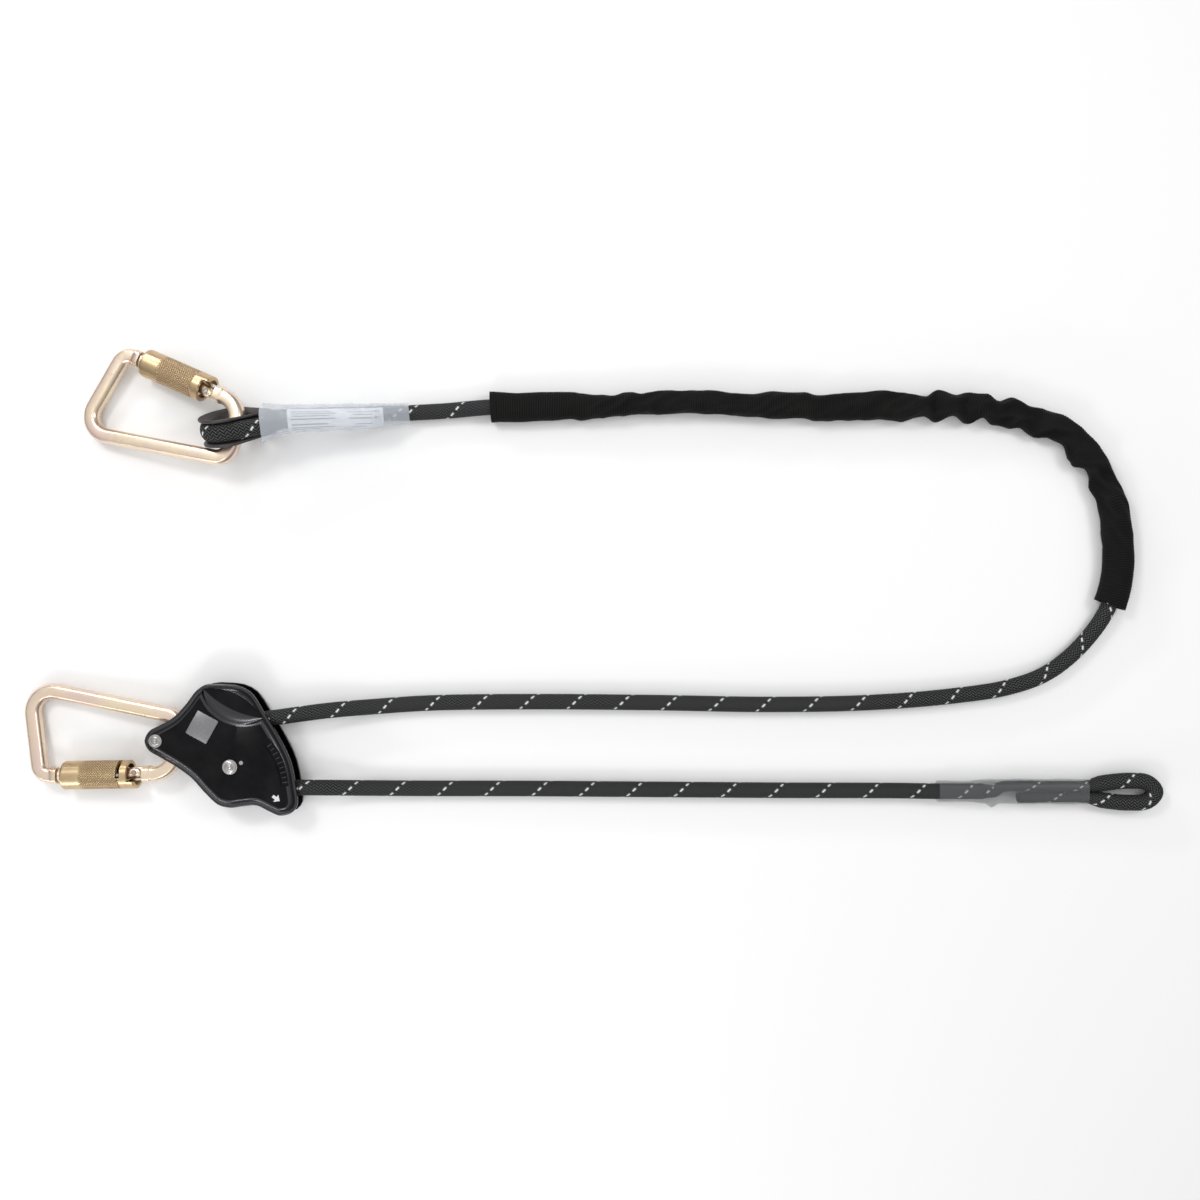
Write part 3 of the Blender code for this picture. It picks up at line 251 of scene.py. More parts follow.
def grid_mesh(name, rings, look, looped=False, colours=None, sharp=40):
    """Joins rings of points, an array (ring, point, xyz): with end caps, or looped round."""
    rings = np.asarray([[tuple(p) for p in ring] for ring in rings] if isinstance(rings, list) else rings)
    n, m = rings.shape[:2]
    i, j = np.meshgrid(np.arange(n if looped else n - 1), np.arange(m), indexing="ij")
    after, beside = (i + 1) % n, (j + 1) % m
    faces = np.stack([i * m + j, i * m + beside, after * m + beside, after * m + j], -1)
    faces = faces.reshape(-1, 4).tolist()
    if not looped:
        faces += [list(range(m)), [(n - 1) * m + k for k in reversed(range(m))]]
    mesh = bpy.data.meshes.new(name)
    mesh.from_pydata(rings.reshape(-1, 3).tolist(), [], faces)
    shape = bmesh.new()
    shape.from_mesh(mesh)
    bmesh.ops.recalc_face_normals(shape, faces=shape.faces)
    shape.to_mesh(mesh)
    shape.free()
    mesh.shade_smooth()
    mesh.set_sharp_from_angle(angle=math.radians(sharp))
    if colours is not None:
        colour_points(mesh, np.asarray(colours).reshape(-1, 3))
    mesh.materials.append(look)
    return placed(name, mesh)


def carve(target, cutters):
    """Takes the cutters out of the target, and removes them."""
    for cutter in cutters:
        modifier = target.modifiers.new("cut", "BOOLEAN")
        modifier.operation, modifier.solver, modifier.object = "DIFFERENCE", "EXACT", cutter
    graph = bpy.context.evaluated_depsgraph_get()
    made = bpy.data.meshes.new_from_object(target.evaluated_get(graph))
    target.modifiers.clear()
    target.data = made
    made.shade_smooth()
    made.set_sharp_from_angle(angle=math.radians(32))
    for cutter in cutters:
        bpy.data.objects.remove(cutter, do_unlink=True)
    return target


def settle(piece, body, *nodes, slot=None):
    """Puts a piece on its body, in place of the plain solids that it stands for."""
    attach(piece, body)
    if nodes:
        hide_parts(*nodes)
    return piece


# ---- Materials ----


def new_look(name, colour, roughness, metallic=0.0, **more):
    """A Principled material, with more inputs by their names in lower case."""
    look = bpy.data.materials.new(name)
    look.use_nodes = True
    shader = look.node_tree.nodes["Principled BSDF"]
    shader.inputs["Base Color"].default_value = (*colour, 1)
    shader.inputs["Roughness"].default_value = roughness
    shader.inputs["Metallic"].default_value = metallic
    for key, value in more.items():
        shader.inputs[key.replace("_", " ").title().replace("Ior", "IOR")].default_value = value
    return look, look.node_tree, shader


def add_node(tree, kind, **values):
    made = tree.nodes.new(kind)
    for key, value in values.items():
        if key in made.inputs:
            made.inputs[key].default_value = value
        else:
            setattr(made, key, value)
    return made


def object_place(tree, scale):
    """Object coordinates stretched by the scale."""
    place = add_node(tree, "ShaderNodeTexCoord")
    stretch = add_node(tree, "ShaderNodeMapping")
    stretch.inputs["Scale"].default_value = scale
    tree.links.new(place.outputs["Object"], stretch.inputs["Vector"])
    return stretch.outputs["Vector"]


def noise_at(tree, scale, detail=3.0, stretch=(1, 1, 1)):
    made = add_node(tree, "ShaderNodeTexNoise", Scale=scale, Detail=detail)
    tree.links.new(object_place(tree, stretch), made.inputs["Vector"])
    return made.outputs["Fac"]


def ramp(tree, source, low, high, first, second):
    """Runs from the first colour at low to the second at high."""
    made = add_node(tree, "ShaderNodeValToRGB")
    for stop, place, colour in zip(made.color_ramp.elements, (low, high), (first, second)):
        stop.position = place
        stop.color = (*colour, 1)
    tree.links.new(source, made.inputs["Fac"])
    return made.outputs["Color"]


def clouded(tree, shader, source, low, high, first, second):
    """A base colour that runs between two as the source does."""
    tree.links.new(ramp(tree, source, low, high, first, second), shader.inputs["Base Color"])


def patchy(tree, shader, scale, detail, low, high):
    """A roughness that wanders between low and high."""
    made = add_node(tree, "ShaderNodeMapRange", **{"To Min": low, "To Max": high})
    tree.links.new(noise_at(tree, scale, detail), made.inputs["Value"])
    tree.links.new(made.outputs["Result"], shader.inputs["Roughness"])


def rough_skin(tree, shader, source, distance, strength=1.0):
    bump = add_node(tree, "ShaderNodeBump", Distance=distance, Strength=strength)
    tree.links.new(source, bump.inputs["Height"])
    tree.links.new(bump.outputs["Normal"], shader.inputs["Normal"])


def held_colour(tree):
    """The colour held at the points, painted highlights and painted shade included."""
    return add_node(tree, "ShaderNodeAttribute", attribute_name="yarn").outputs["Color"]


def rope_look():
    """Braided yarn, roughened by fine fibres; its colour, painted highlights included, is held at the
    points.
    """
    look, tree, shader = new_look("rope_braid", BLACK_YARN, 0.60, specular_ior_level=0.14)
    tree.links.new(held_colour(tree), shader.inputs["Base Color"])
    rough_skin(tree, shader, noise_at(tree, 2600, 2), 0.00012, 0.6)
    return look


def webbing_look():
    """Black polyester ribs, with painted highlights on their crests and painted shade in the creases."""
    look, tree, shader = new_look("webbing", (0.006, 0.006, 0.0055), 0.72, specular_ior_level=0.14)
    tree.links.new(held_colour(tree), shader.inputs["Base Color"])
    rough_skin(tree, shader, noise_at(tree, 1900, 2), 0.0002, 0.7)
    return look


def anodised_look():
    """Satin black anodising, with faint wear and handling marks."""
    look, tree, shader = new_look("anodised", (0.014, 0.014, 0.015), 0.30, 1.0)
    clouded(tree, shader, noise_at(tree, 55, 5), 0.35, 0.8, (0.011, 0.011, 0.012), (0.020, 0.020, 0.021))
    patchy(tree, shader, 130, 4, 0.22, 0.36)
    rough_skin(tree, shader, noise_at(tree, 3000, 2), 0.00002, 0.5)
    return look


def zinc_look():
    """Yellow zinc plate: pinkish brown to olive gold in slow clouds, with draw marks."""
    look, tree, shader = new_look("zinc_plate", (0.66, 0.52, 0.36), 0.30, 1.0)
    clouded(tree, shader, noise_at(tree, 42, 4), 0.30, 0.70, (0.78, 0.61, 0.53), (0.84, 0.71, 0.51))
    patchy(tree, shader, 260, 5, 0.20, 0.42)
    rough_skin(tree, shader, noise_at(tree, 700, 4, (1, 0.25, 1)), 0.00006, 0.5)
    return look


def barrel_look():
    """The locking sleeve's plate is yellower, with painted shade between the knurls."""
    look, tree, shader = new_look("barrel_plate", BARREL_GOLD, 0.34, 1.0)
    cloud = ramp(tree, noise_at(tree, 60, 4), 0.30, 0.72, (0.86, 0.78, 0.80), (1.0, 1.0, 0.96))
    tint = add_node(tree, "ShaderNodeVectorMath", operation="MULTIPLY")
    tree.links.new(held_colour(tree), tint.inputs[0])
    tree.links.new(cloud, tint.inputs[1])
    tree.links.new(tint.outputs["Vector"], shader.inputs["Base Color"])
    patchy(tree, shader, 300, 4, 0.24, 0.42)
    return look


def steel_look():
    """Turned stainless, with fine rings of tool marks."""
    look, tree, shader = new_look("turned_steel", (0.40, 0.39, 0.38), 0.30, 1.0)
    patchy(tree, shader, 500, 3, 0.22, 0.42)
    rough_skin(tree, shader, noise_at(tree, 1500, 2), 0.00003, 0.4)
    return look


def badge_look():
    """Dull brushed metal."""
    look, tree, shader = new_look("badge_metal", (0.23, 0.23, 0.24), 0.42, 0.8)
    grain = noise_at(tree, 420, 3, (1, 8, 1))
    clouded(tree, shader, grain, 0.3, 0.7, (0.17, 0.17, 0.18), (0.27, 0.27, 0.28))
    return look


def plastic_look():
    look, tree, shader = new_look("thimble_nylon", (0.035, 0.031, 0.031), 0.48)
    patchy(tree, shader, 300, 4, 0.38, 0.60)
    rough_skin(tree, shader, noise_at(tree, 1200, 3), 0.00005, 0.6)
    return look


def bevel_look():
    """The plate's bevels: glossier than its faces, and lighter in colour, a painted highlight for their
    reflection.
    """
    look, tree, shader = new_look("bevel_gloss_painted_highlight", (0.055, 0.055, 0.058), 0.24, 1.0)
    patchy(tree, shader, 130, 4, 0.18, 0.32)
    return look


def film_look(name, colour, cover):
    """Milky shrink tube: partly see-through."""
    look, tree, shader = new_look(name, colour, 0.32, alpha=cover, ior=1.48)
    rough_skin(tree, shader, noise_at(tree, 160, 3, (0.4, 1, 1)), 0.0002, 0.4)
    return look


def paint_look(name, colour, roughness=0.6):
    look, tree, shader = new_look(name, colour, roughness)
    shade = tuple(c * 0.86 for c in colour)
    clouded(tree, shader, noise_at(tree, 240, 3), 0.3, 0.7, shade, colour)
    return look


# ---- Rope ----


def braid(along, turn):
    """Height (0 to 1) and colour of the sheath at a distance along the rope and an angle round it; the
    colour carries a painted highlight along each float's crest.
    """
    across, ahead = CARRIERS * turn / (2 * math.pi), along / BRAID_ROW
    p, q = ahead + across + 0.001, ahead - across + 0.001
    i, j = np.floor(p), np.floor(q)
    first_up = np.mod(i + j, 4) < 2
    over = np.where(first_up, p - i, q - j)
    under = np.where(first_up, q + i, p + j)
    round_top = np.sqrt(np.clip(1 - (2 * over - 1) ** 2, 0, 1))
    arch = 0.70 + 0.30 * np.sin(math.pi * np.clip(np.mod(under, 2) / 2, 0.05, 0.95))
    height = round_top * arch
    # sheen: the painted highlight, brightest along the middle of each float.
    sheen = (np.clip(round_top * 6 - 5, 0, 1) * arch)[..., None] ** 2
    colour = np.array(BLACK_YARN) + (np.array(CREST_PAINTED_HIGHLIGHT) - np.array(BLACK_YARN)) * sheen
    tracer = first_up & (np.mod(i, CARRIERS) == 0) & (round_top > 0.3)
    colour[tracer] = TRACER_YARN
    return height, colour


def braided_tube(name, line, lean, half_w, half_h, look, plain=None):
    """A braided rope on a line; plain marks the points that lie hidden, which need no braid."""
    at = np.arange(len(line)) * BRAID_STEP
    half_w, half_h = (np.broadcast_to(half, len(line)) for half in (half_w, half_h))
    if plain is not None:
        keep = ~plain | (np.arange(len(line)) % 6 == 0)
        line, at, half_w, half_h, plain = line[keep], at[keep], half_w[keep], half_h[keep], plain[keep]
    side, up = frames_of(line, lean)[1:]
    turn = full_turn(BRAID_SIDES)
    height, colour = braid(at[:, None], turn[None, :])
    if plain is not None:
        height[plain] = 0
    out = (height - 1) * STRAND_HEIGHT
    wide = (half_w[:, None] + out) * np.cos(turn)
    tall = (half_h[:, None] + out) * np.sin(turn)
    rings = line[:, None] + side[:, None] * wide[..., None] + up[:, None] * tall[..., None]
    return grid_mesh(name, rings, look, colours=colour, sharp=70)


def load_rope(look, sleeve):
    """The rope from the eye's cover to the housing, squeezed a little inside the webbing."""
    line = evenly(smooth_curve(LOAD_ROUTE, 12), BRAID_STEP)
    plain = (line[:, 1] > WEB_TO_Y + 0.010) & (line[:, 0] > WEB_FROM_X + 0.010)
    size = np.where(plain, SQUEEZED_R, ROPE_R)
    rope = braided_tube("load_rope_braid", line, (0, 0, 1), size, size, look, plain)
    settle(rope, "lanyard", "load_rope", slot="rope_black")


def tail_rope(look):
    line = evenly(smooth_curve(TAIL_ROUTE, 12), BRAID_STEP)
    rope = braided_tube("tail_rope_braid", line, (0, 0, 1), ROPE_R, ROPE_R, look)
    settle(rope, "lanyard", "tail_rope", slot="rope_black")
    eye = tail_eye_rope(look)
    cover = tail_eye_cover()


def rope_in_housing(look):
    centre = Vector((*TURN_XY, MIDDLE_Z))
    around = []
    for i in range(7):
        t = math.radians(88 + 184 * i / 6)
        around.append(centre + Vector((math.cos(t), math.sin(t), 0)) * TURN_R)
    route = [LOAD_MOUTH, LOAD_MOUTH - MOUTH_WAY * 0.006, LOAD_MOUTH - MOUTH_WAY * 0.012] + around
    route += [TAIL_MOUTH - X * 0.030 + Y * 0.0008, TAIL_MOUTH - X * 0.006, TAIL_MOUTH]
    line = evenly(smooth_curve(route, 10), BRAID_STEP)
    rope = braided_tube("rope_in_housing_braid", line, (0, 0, 1), ROPE_R, ROPE_R, look)
    settle(rope, "lanyard", "rope_in_housing", slot="rope_black")


def tail_eye_rope(look):
    """The tail's end doubled back into a small flat eye."""
    def at(x, off):
        return Vector((x, TAIL_Y + off, TAIL_LIE))

    half = [at(0.6200, 0.0046), at(0.6740, 0.0046), at(0.6900, 0.0072), at(0.7080, 0.0087),
            at(0.7225, 0.0072)]
    back = [at(p.x, TAIL_Y - p.y) for p in reversed(half)]
    start = Vector((TAIL_ROPE_TO + 2 * GAP, -0.0218, TAIL_LIE))
    lead = [start, start + X * 0.0040, start + X * 0.0080, at(0.6060, 0.0036)]
    line = evenly(smooth_curve(lead + half + [at(0.7285, 0)] + back, 10), BRAID_STEP)
    doubled = np.clip((line[:, 0] - 0.5880) / 0.018, 0, 1)
    apart = np.clip((line[:, 0] - 0.6730) / 0.012, 0, 1)
    wide = 0.0062 - 0.0020 * doubled + 0.0022 * apart
    eye = braided_tube("tail_eye_braid", line, (0, 0, 1), 0.0062, wide, look)
    return settle(eye, "lanyard", "tail_eye_rope", slot="rope_black")


# ---- Anchor eye ----

EYE_TURN = Matrix.Rotation(EYE_HEADING, 3, "Z") @ Matrix.Rotation(EYE_LEAN, 3, "X")
EYE_LONG, EYE_AXIS, EYE_UP = (EYE_TURN @ v for v in (X, Y, Z))


def eye_point(along, up, side=0.0):
    return EYE_CENTRE + EYE_LONG * along + EYE_UP * up + EYE_AXIS * side


def anchor_eye_rope(look):
    """The rope of the eye, round in the splice and flattened in the thimble's groove."""
    lower, upper = eye_point(THROAT, -STRAND_OFF), eye_point(THROAT, STRAND_OFF)
    level = COVER_END - lower
    route = [COVER_END, COVER_END - X * 0.004, lower + level * 0.5, lower, eye_point(0.0270, -0.0125)]
    for i in range(9):
        t = math.radians(-78 - 204 * i / 8)
        route.append(eye_point(EYE_ROPE_R * math.cos(t), EYE_ROPE_R * math.sin(t)))
    route += [eye_point(0.0270, 0.0125), upper, upper + level * UPPER_STRAND_SHARE / 2,
              upper + level * UPPER_STRAND_SHARE]
    line = evenly(smooth_curve(route, 8), BRAID_STEP)
    reach = (line - np.array(EYE_CENTRE)) @ np.array(EYE_LONG)
    flat = 1 - np.clip((reach - 0.006) / 0.030, 0, 1)
    rope = braided_tube("anchor_eye_braid", line, EYE_AXIS, 0.0061 + 0.0014 * flat,
                        0.0060 - 0.0012 * flat, look)
    settle(rope, "lanyard", "anchor_eye_rope", slot="rope_black")


def thimble(look):
    """A plastic channel bent to a teardrop: its section flares to two flanges."""
    half = [(0.0006, 0.0030), (0.0009, 0.0050), (0.0014, 0.0066), (0.0022, 0.0077), (0.0048, 0.0080),
            (0.0074, 0.0080), (0.0090, 0.0082), (0.0099, 0.0086), (0.0104, 0.0093), (0.0104, 0.0101),
            (0.0099, 0.0107)]
    inner = [(0.0088, 0.0108), (0.0078, 0.0105), (0.0050, 0.0094), (0.0028, 0.0080), (0.0012, 0.0062),
             (0.0000, 0.0042), (-0.0009, 0.0020)]
    section = [(r, -h) for r, h in reversed(half)] + half + inner
    section += [(-0.0012, 0.0)] + [(r, -h) for r, h in reversed(inner)]
    spread_angle = math.acos((THIMBLE_FLOOR_R - 0.0030) / THIMBLE_APEX)
    places = []
    for i in range(73):
        t = spread_angle + (2 * math.pi - 2 * spread_angle) * i / 72
        places.append((THIMBLE_FLOOR_R * math.cos(t), THIMBLE_FLOOR_R * math.sin(t), t))
    straight = 10
    first, last = places[0], places[-1]
    apex = [(THIMBLE_APEX + 0.0030 * math.cos(t), 0.0030 * math.sin(t), t)
            for t in (-spread_angle + 2 * spread_angle * i / 12 for i in range(13))]

    def side(start, end, turn):
        return [tuple(a + (b - a) * k / straight for a, b in zip(start[:2], end[:2])) + (turn,)
                for k in range(1, straight)]

    down, up = side(last, apex[0], -spread_angle), side(apex[-1], first, spread_angle)
    rings = []
    for x, y, t in places + down + apex + up:
        reach = 1.0 if x < 0.004 else max(0.30, 1.0 - (x - 0.004) / 0.036)
        narrow = 1.0 if x < 0.004 else 1.0 - 0.14 * (x - 0.004) / 0.028
        ring = []
        for r, h in section:
            out = r * reach if r > 0.001 else r
            ring.append(eye_point(x + out * math.cos(t), y + out * math.sin(t), h * narrow))
        rings.append(ring)
    piece = grid_mesh("thimble_channel", rings, look, looped=True)
    settle(piece, "lanyard", "anchor_thimble", slot="thimble_plastic")


def squarish(value, power):
    return np.sign(value) * np.abs(value) ** power


def cover_frames(shares):
    """(centre, side, up, half width, half height) at each share of the cover's length."""
    start, throat = eye_point(COVER_FROM, 0), eye_point(THROAT, 0)
    along = (COVER_END - start).normalized()
    side = EYE_UP.cross(along).normalized()
    up = along.cross(side)
    stations = np.array(COVER_STATIONS)
    frames = []
    for share in shares:
        beyond = (share - THROAT_SHARE) / (1 - THROAT_SHARE)
        centre = start.lerp(throat, share / THROAT_SHARE)
        if beyond > 0:
            lift = EYE_UP * STRAND_OFF * min(1.0, (1 - beyond) / 0.3)
            centre = eye_point(THROAT, -STRAND_OFF).lerp(COVER_END, beyond) + lift
        wide, high = (np.interp(share, stations[:, 0], stations[:, k]) for k in (1, 2))
        frames.append((centre, side, up, wide, high))
    return frames


def oval(centre, side, up, wide, high, turns):
    return [centre + side * float(wide * squarish(math.cos(t), SQUARENESS))
            + up * float(high * squarish(math.sin(t), SQUARENESS)) for t in turns]


def anchor_eye_cover(look):
    """The clear tube over the splice, flared at the thimble and a little rumpled."""
    shares = np.linspace(0, 1, 60)
    turns = full_turn(COVER_SIDES)
    rings = []
    for depth, order in ((0.0, shares), (COVER_WALL, shares[::-1])):
        for share, (centre, side, up, wide, high) in zip(order, cover_frames(order)):
            rumple = 0.0003 * math.sin(share * 34) * math.sin(share * math.pi)
            rings.append(oval(centre, side, up, wide - depth + rumple, high - depth, turns))
    piece = grid_mesh("anchor_cover_tube", rings, look, looped=True)
    settle(piece, "lanyard", "anchor_eye_cover", slot="clear_film")


def anchor_eye_label(paper, ink):
    """The printed strip under the clear tube, with plain bars in place of its print."""
    shares = np.linspace(*LABEL_SHARES, 30)
    over = np.radians(np.linspace(14, 166, 25))
    depth = COVER_WALL + 0.0002

    def strip(name, part, angles, lower, upper, look):
        rings = []
        for centre, side, up, wide, high in cover_frames(part):
            top = oval(centre, side, up, wide - lower, high - lower, angles)
            under = oval(centre, side, up, wide - upper, high - upper, angles[::-1])
            rings.append(top + under)
        return grid_mesh(name, rings, look)

    label = strip("label_strip", shares, over, depth, depth + 0.0003, paper)
    settle(label, "lanyard", "anchor_eye_label", slot="label_paper")
    rows = [(40, 0.02, 0.46), (54, 0.02, 0.52), (68, 0.02, 0.44), (82, 0.02, 0.50), (96, 0.02, 0.42),
            (110, 0.02, 0.48), (124, 0.02, 0.34), (48, 0.62, 0.96), (66, 0.66, 0.90), (84, 0.62, 0.94),
            (102, 0.68, 0.88), (118, 0.64, 0.82)]
    for k, (degrees, low, high) in enumerate(rows):
        part = [LABEL_SHARES[0] + (LABEL_SHARES[1] - LABEL_SHARES[0]) * s for s in (low + 0.02, high)]
        angles = np.radians(np.linspace(degrees - 2.3, degrees + 2.3, 3))
        bar = strip(f"label_bar_{k}", np.linspace(*part, 10), angles, depth - 0.00004, depth + 0.0001, ink)
        settle(bar, "lanyard")


def tail_eye_cover():
    """The clear tube over the tail's splice, with a small nub on its lower side."""
    look = film_look("tail_film", (0.20, 0.21, 0.22), 0.19)
    turns = full_turn(COVER_SIDES)
    shares = np.linspace(0, 1, 60)
    rings = []
    for depth, order in ((0.0, shares), (0.0006, shares[::-1])):
        for share in order:
            wide = np.interp(share, (0, 0.22, 0.36, 1), (0.0082, 0.0084, 0.0098, 0.0100)) - depth
            wide += 0.0002 * math.sin(share * 23 + 1)
            centre = Vector((TAIL_COVER_FROM + (TAIL_COVER_TO - TAIL_COVER_FROM) * share,
                             TAIL_Y + 0.0004 * (1 - share), TAIL_LIE))
            ring = oval(centre, Y, Z, wide, TAIL_LIE - 0.0001 - depth, turns)
            nub = NUB_HEIGHT * math.exp(-((centre.x - NUB_X) / NUB_SPREAD) ** 2)
            rings.append([p - Y * nub * max(0.0, -math.cos(t)) ** 3 for p, t in zip(ring, turns)])
    piece = grid_mesh("tail_cover_tube", rings, look, looped=True)
    return settle(piece, "lanyard", "tail_eye_cover", slot="clear_film")


# ---- Webbing sleeve ----


def webbing_sleeve(look):
    """Ribbed tubular webbing, crumpled and twisted along the rope, open at both ends."""
    line = evenly(smooth_curve(LOAD_ROUTE, 12), 0.00046)
    inside = (line[:, 1] > WEB_TO_Y) & (line[:, 0] > WEB_FROM_X)
    line = line[inside]
    at = lengths_of(line)
    stations = np.array(WEB_EDGES) / 1000
    span = np.clip(np.searchsorted(stations[:, 0], at, "right") - 1, 0, len(stations) - 2)
    ease = (at - stations[span, 0]) / (stations[span + 1, 0] - stations[span, 0])
    ease = (ease ** 2 * (3 - 2 * ease))[:, None]
    left, right = (stations[span, 1:] * (1 - ease) + stations[span + 1, 1:] * ease).T
    wide = (left + right) / 2
    tall = np.clip(0.0085 + (0.0110 - wide) * 0.5, 0.0080, 0.0108)
    turn = full_turn(WEB_SIDES)
    up, side = frames_of(line, (0, 0, 1))[1:]
    crumple = np.interp(at, (0, 0.055, 0.10, 0.30, 0.34, 0.52, 0.57, at[-1]),
                        (0.1, 0.25, 0.8, 0.8, 1.2, 1.2, 0.3, 0.1))
    folds, skew = np.empty((2, len(line), WEB_SIDES))
    for i, s in enumerate(at):
        for k, t in enumerate(turn):
            place = Vector((s * 48 + math.cos(t) * 0.8, math.cos(t) * 0.8 + 5, math.sin(t) * 0.7))
            ridge = noise.noise(place)
            folds[i, k] = 0.45 - abs(ridge) * 2.6 + 0.4 * noise.noise(place * 2.1)
            skew[i, k] = noise.noise(place * 0.45)
    wave = np.sin((at[:, None] + 0.0060 * skew * crumple[:, None]) * 2 * math.pi / RIB_PITCH)
    ribs = RIB_HEIGHT * wave
    ends = np.clip(1 - at / 0.005, 0, 1) + np.clip(1 - (at[-1] - at) / 0.005, 0, 1)
    out = folds * 0.0014 * crumple[:, None] + ribs + 0.0004 * ends[:, None] ** 0.5
    out = np.clip(out, -0.0018, 0.0015)
    shape_w = (wide[:, None] + out * 0.6) * squarish(np.cos(turn), 0.85)
    shape_h = (tall[:, None] + out) * squarish(np.sin(turn), 0.85)
    centre = line + side * ((right - left) / 2)[:, None]
    centre[:, 2] = tall + 0.0006
    outer = centre[:, None] + side[:, None] * shape_w[..., None] + up[:, None] * shape_h[..., None]
    outer[..., 2] = np.maximum(outer[..., 2], 0.0001)
    few = np.unique(np.linspace(0, len(line) - 1, 60).astype(int))[::-1]
    lining_w = (wide[few, None] - 0.0017) * np.cos(turn)
    lining_h = (tall[few, None] - 0.0014) * np.sin(turn)
    inner = centre[few, None] + side[few, None] * lining_w[..., None] + up[few, None] * lining_h[..., None]
    # Painted light in the colour: paler on the rib crests and fold ridges (painted highlight), darker in
    # the creases (painted shade); the lining inside is a little darker, painted shade.
    shade = 0.0052 + 0.0040 * wave + 0.0035 * np.clip(folds * crumple[:, None], -1, 1)
    shade = np.concatenate([np.clip(shade, 0.0015, 0.02), np.full((len(few), WEB_SIDES), 0.004)])
    colours = shade[..., None] * np.array((1.0, 0.97, 0.92))
    piece = grid_mesh("webbing_tube", np.concatenate([outer, inner]), look, looped=True, colours=colours,
                      sharp=60)
    return settle(piece, "lanyard", "protective_sleeve", slot="webbing_black")


# ---- Carabiners ----


def gate_point(s, off=0.0, up=0.0):
    """A point given along the gate's axis, across it away from the spine, and up."""
    return Vector((*GATE_START, 0)) + ALONG * s + ACROSS * off + Z * up


def bar_section(centre, side, half_w, half_t):
    """Flat faces above and below, bevels, and rounded sides, with every edge eased."""
    wide, tall = half_w * 0.60, half_t * 0.48
    corners = [(half_w, tall), (wide, half_t), (-wide, half_t), (-half_w, tall)]
    corners += [(-w, -t) for w, t in corners]
    ring = []
    for k, corner in enumerate(corners):
        before, after = corners[k - 1], corners[(k + 1) % len(corners)]
        for share, other in ((0.16, before), (0.05, before), (0.05, after), (0.16, after)):
            pull = 0.02 if share < 0.1 else 0.0
            w = (corner[0] + (other[0] - corner[0]) * share) * (1 - pull)
            t = (corner[1] + (other[1] - corner[1]) * share) * (1 - pull)
            ring.append(centre + side * w + Z * t)
    return ring


def rounded_path(start, corners, end, per_corner):
    """Centreline through corners given with bend radii."""
    knots = [Vector(start)] + [Vector(c) for c, _ in corners] + [Vector(end)]
    made = [knots[0]]
    for i, (_, radius) in enumerate(corners, 1):
        back = (knots[i - 1] - knots[i]).normalized()
        ahead = (knots[i + 1] - knots[i]).normalized()
        half = math.acos(max(-1, min(1, back.dot(ahead)))) / 2
        first = knots[i] + back * (radius / math.tan(half))
        last = knots[i] + ahead * (radius / math.tan(half))
        centre = knots[i] + (back + ahead).normalized() * (radius / math.sin(half))
        sweep = math.pi - 2 * half
        for j in range(per_corner + 1):
            t = j / per_corner
            blend = (first - centre) * math.sin((1 - t) * sweep) + (last - centre) * math.sin(t * sweep)
            made.append(centre + blend / math.sin(sweep))
    return made + [knots[-1]]


def body_rings():
    """Sections of the bar: the tongue, the nose, round the bends to the lug, and the hinge's tang."""
    rings = []
    for s, half_w, half_t in ((TONGUE_TIP, 0.0030, 0.0021), (NOSE_FACE, 0.0032, 0.0021),
                              (NOSE_FACE, 0.0062, 0.0054), (NOSE_FACE - 0.0003, 0.0064, 0.0056),
                              (NOSE_BACK + 0.0004, 0.0066, 0.0057), (NOSE_BACK, 0.0062, 0.0055)):
        rings.append(bar_section(gate_point(s), -ACROSS, half_w, half_t))
    start, end = gate_point(NOSE_BACK), gate_point(LUG_BACK)
    path = [p.to_3d() for p in rounded_path(start.xy, BODY_CORNERS, end.xy, 16)][1:-1]
    for i, p in enumerate(path):
        ahead = (path[min(i + 1, len(path) - 1)] - path[max(i - 1, 0)]).normalized()
        if i in (0, len(path) - 1):
            ahead = -ALONG
        rings.append(bar_section(p, Vector((-ahead.y, ahead.x, 0)), BAR_HALF_W, BAR_HALF_T))
    for s, half_w, half_t in ((LUG_BACK, 0.0062, 0.0055), (LUG_BACK - 0.0004, 0.0066, 0.0057),
                              (LUG_FACE + 0.0003, 0.0064, 0.0056), (LUG_FACE, 0.0061, 0.0053)):
        rings.append(bar_section(gate_point(s), -ACROSS, half_w, half_t))
    rings.append(bar_section(gate_point(LUG_FACE, HINGE_OFF), -ACROSS, 0.0044, TANG_HALF_T))
    for degrees in (90, 72, 54, 36, 20, 8):
        t = math.radians(degrees)
        place = gate_point(HINGE_AT - TANG_R * math.cos(t), HINGE_OFF)
        rings.append(bar_section(place, -ACROSS, TANG_R * math.sin(t), TANG_HALF_T))
    return rings


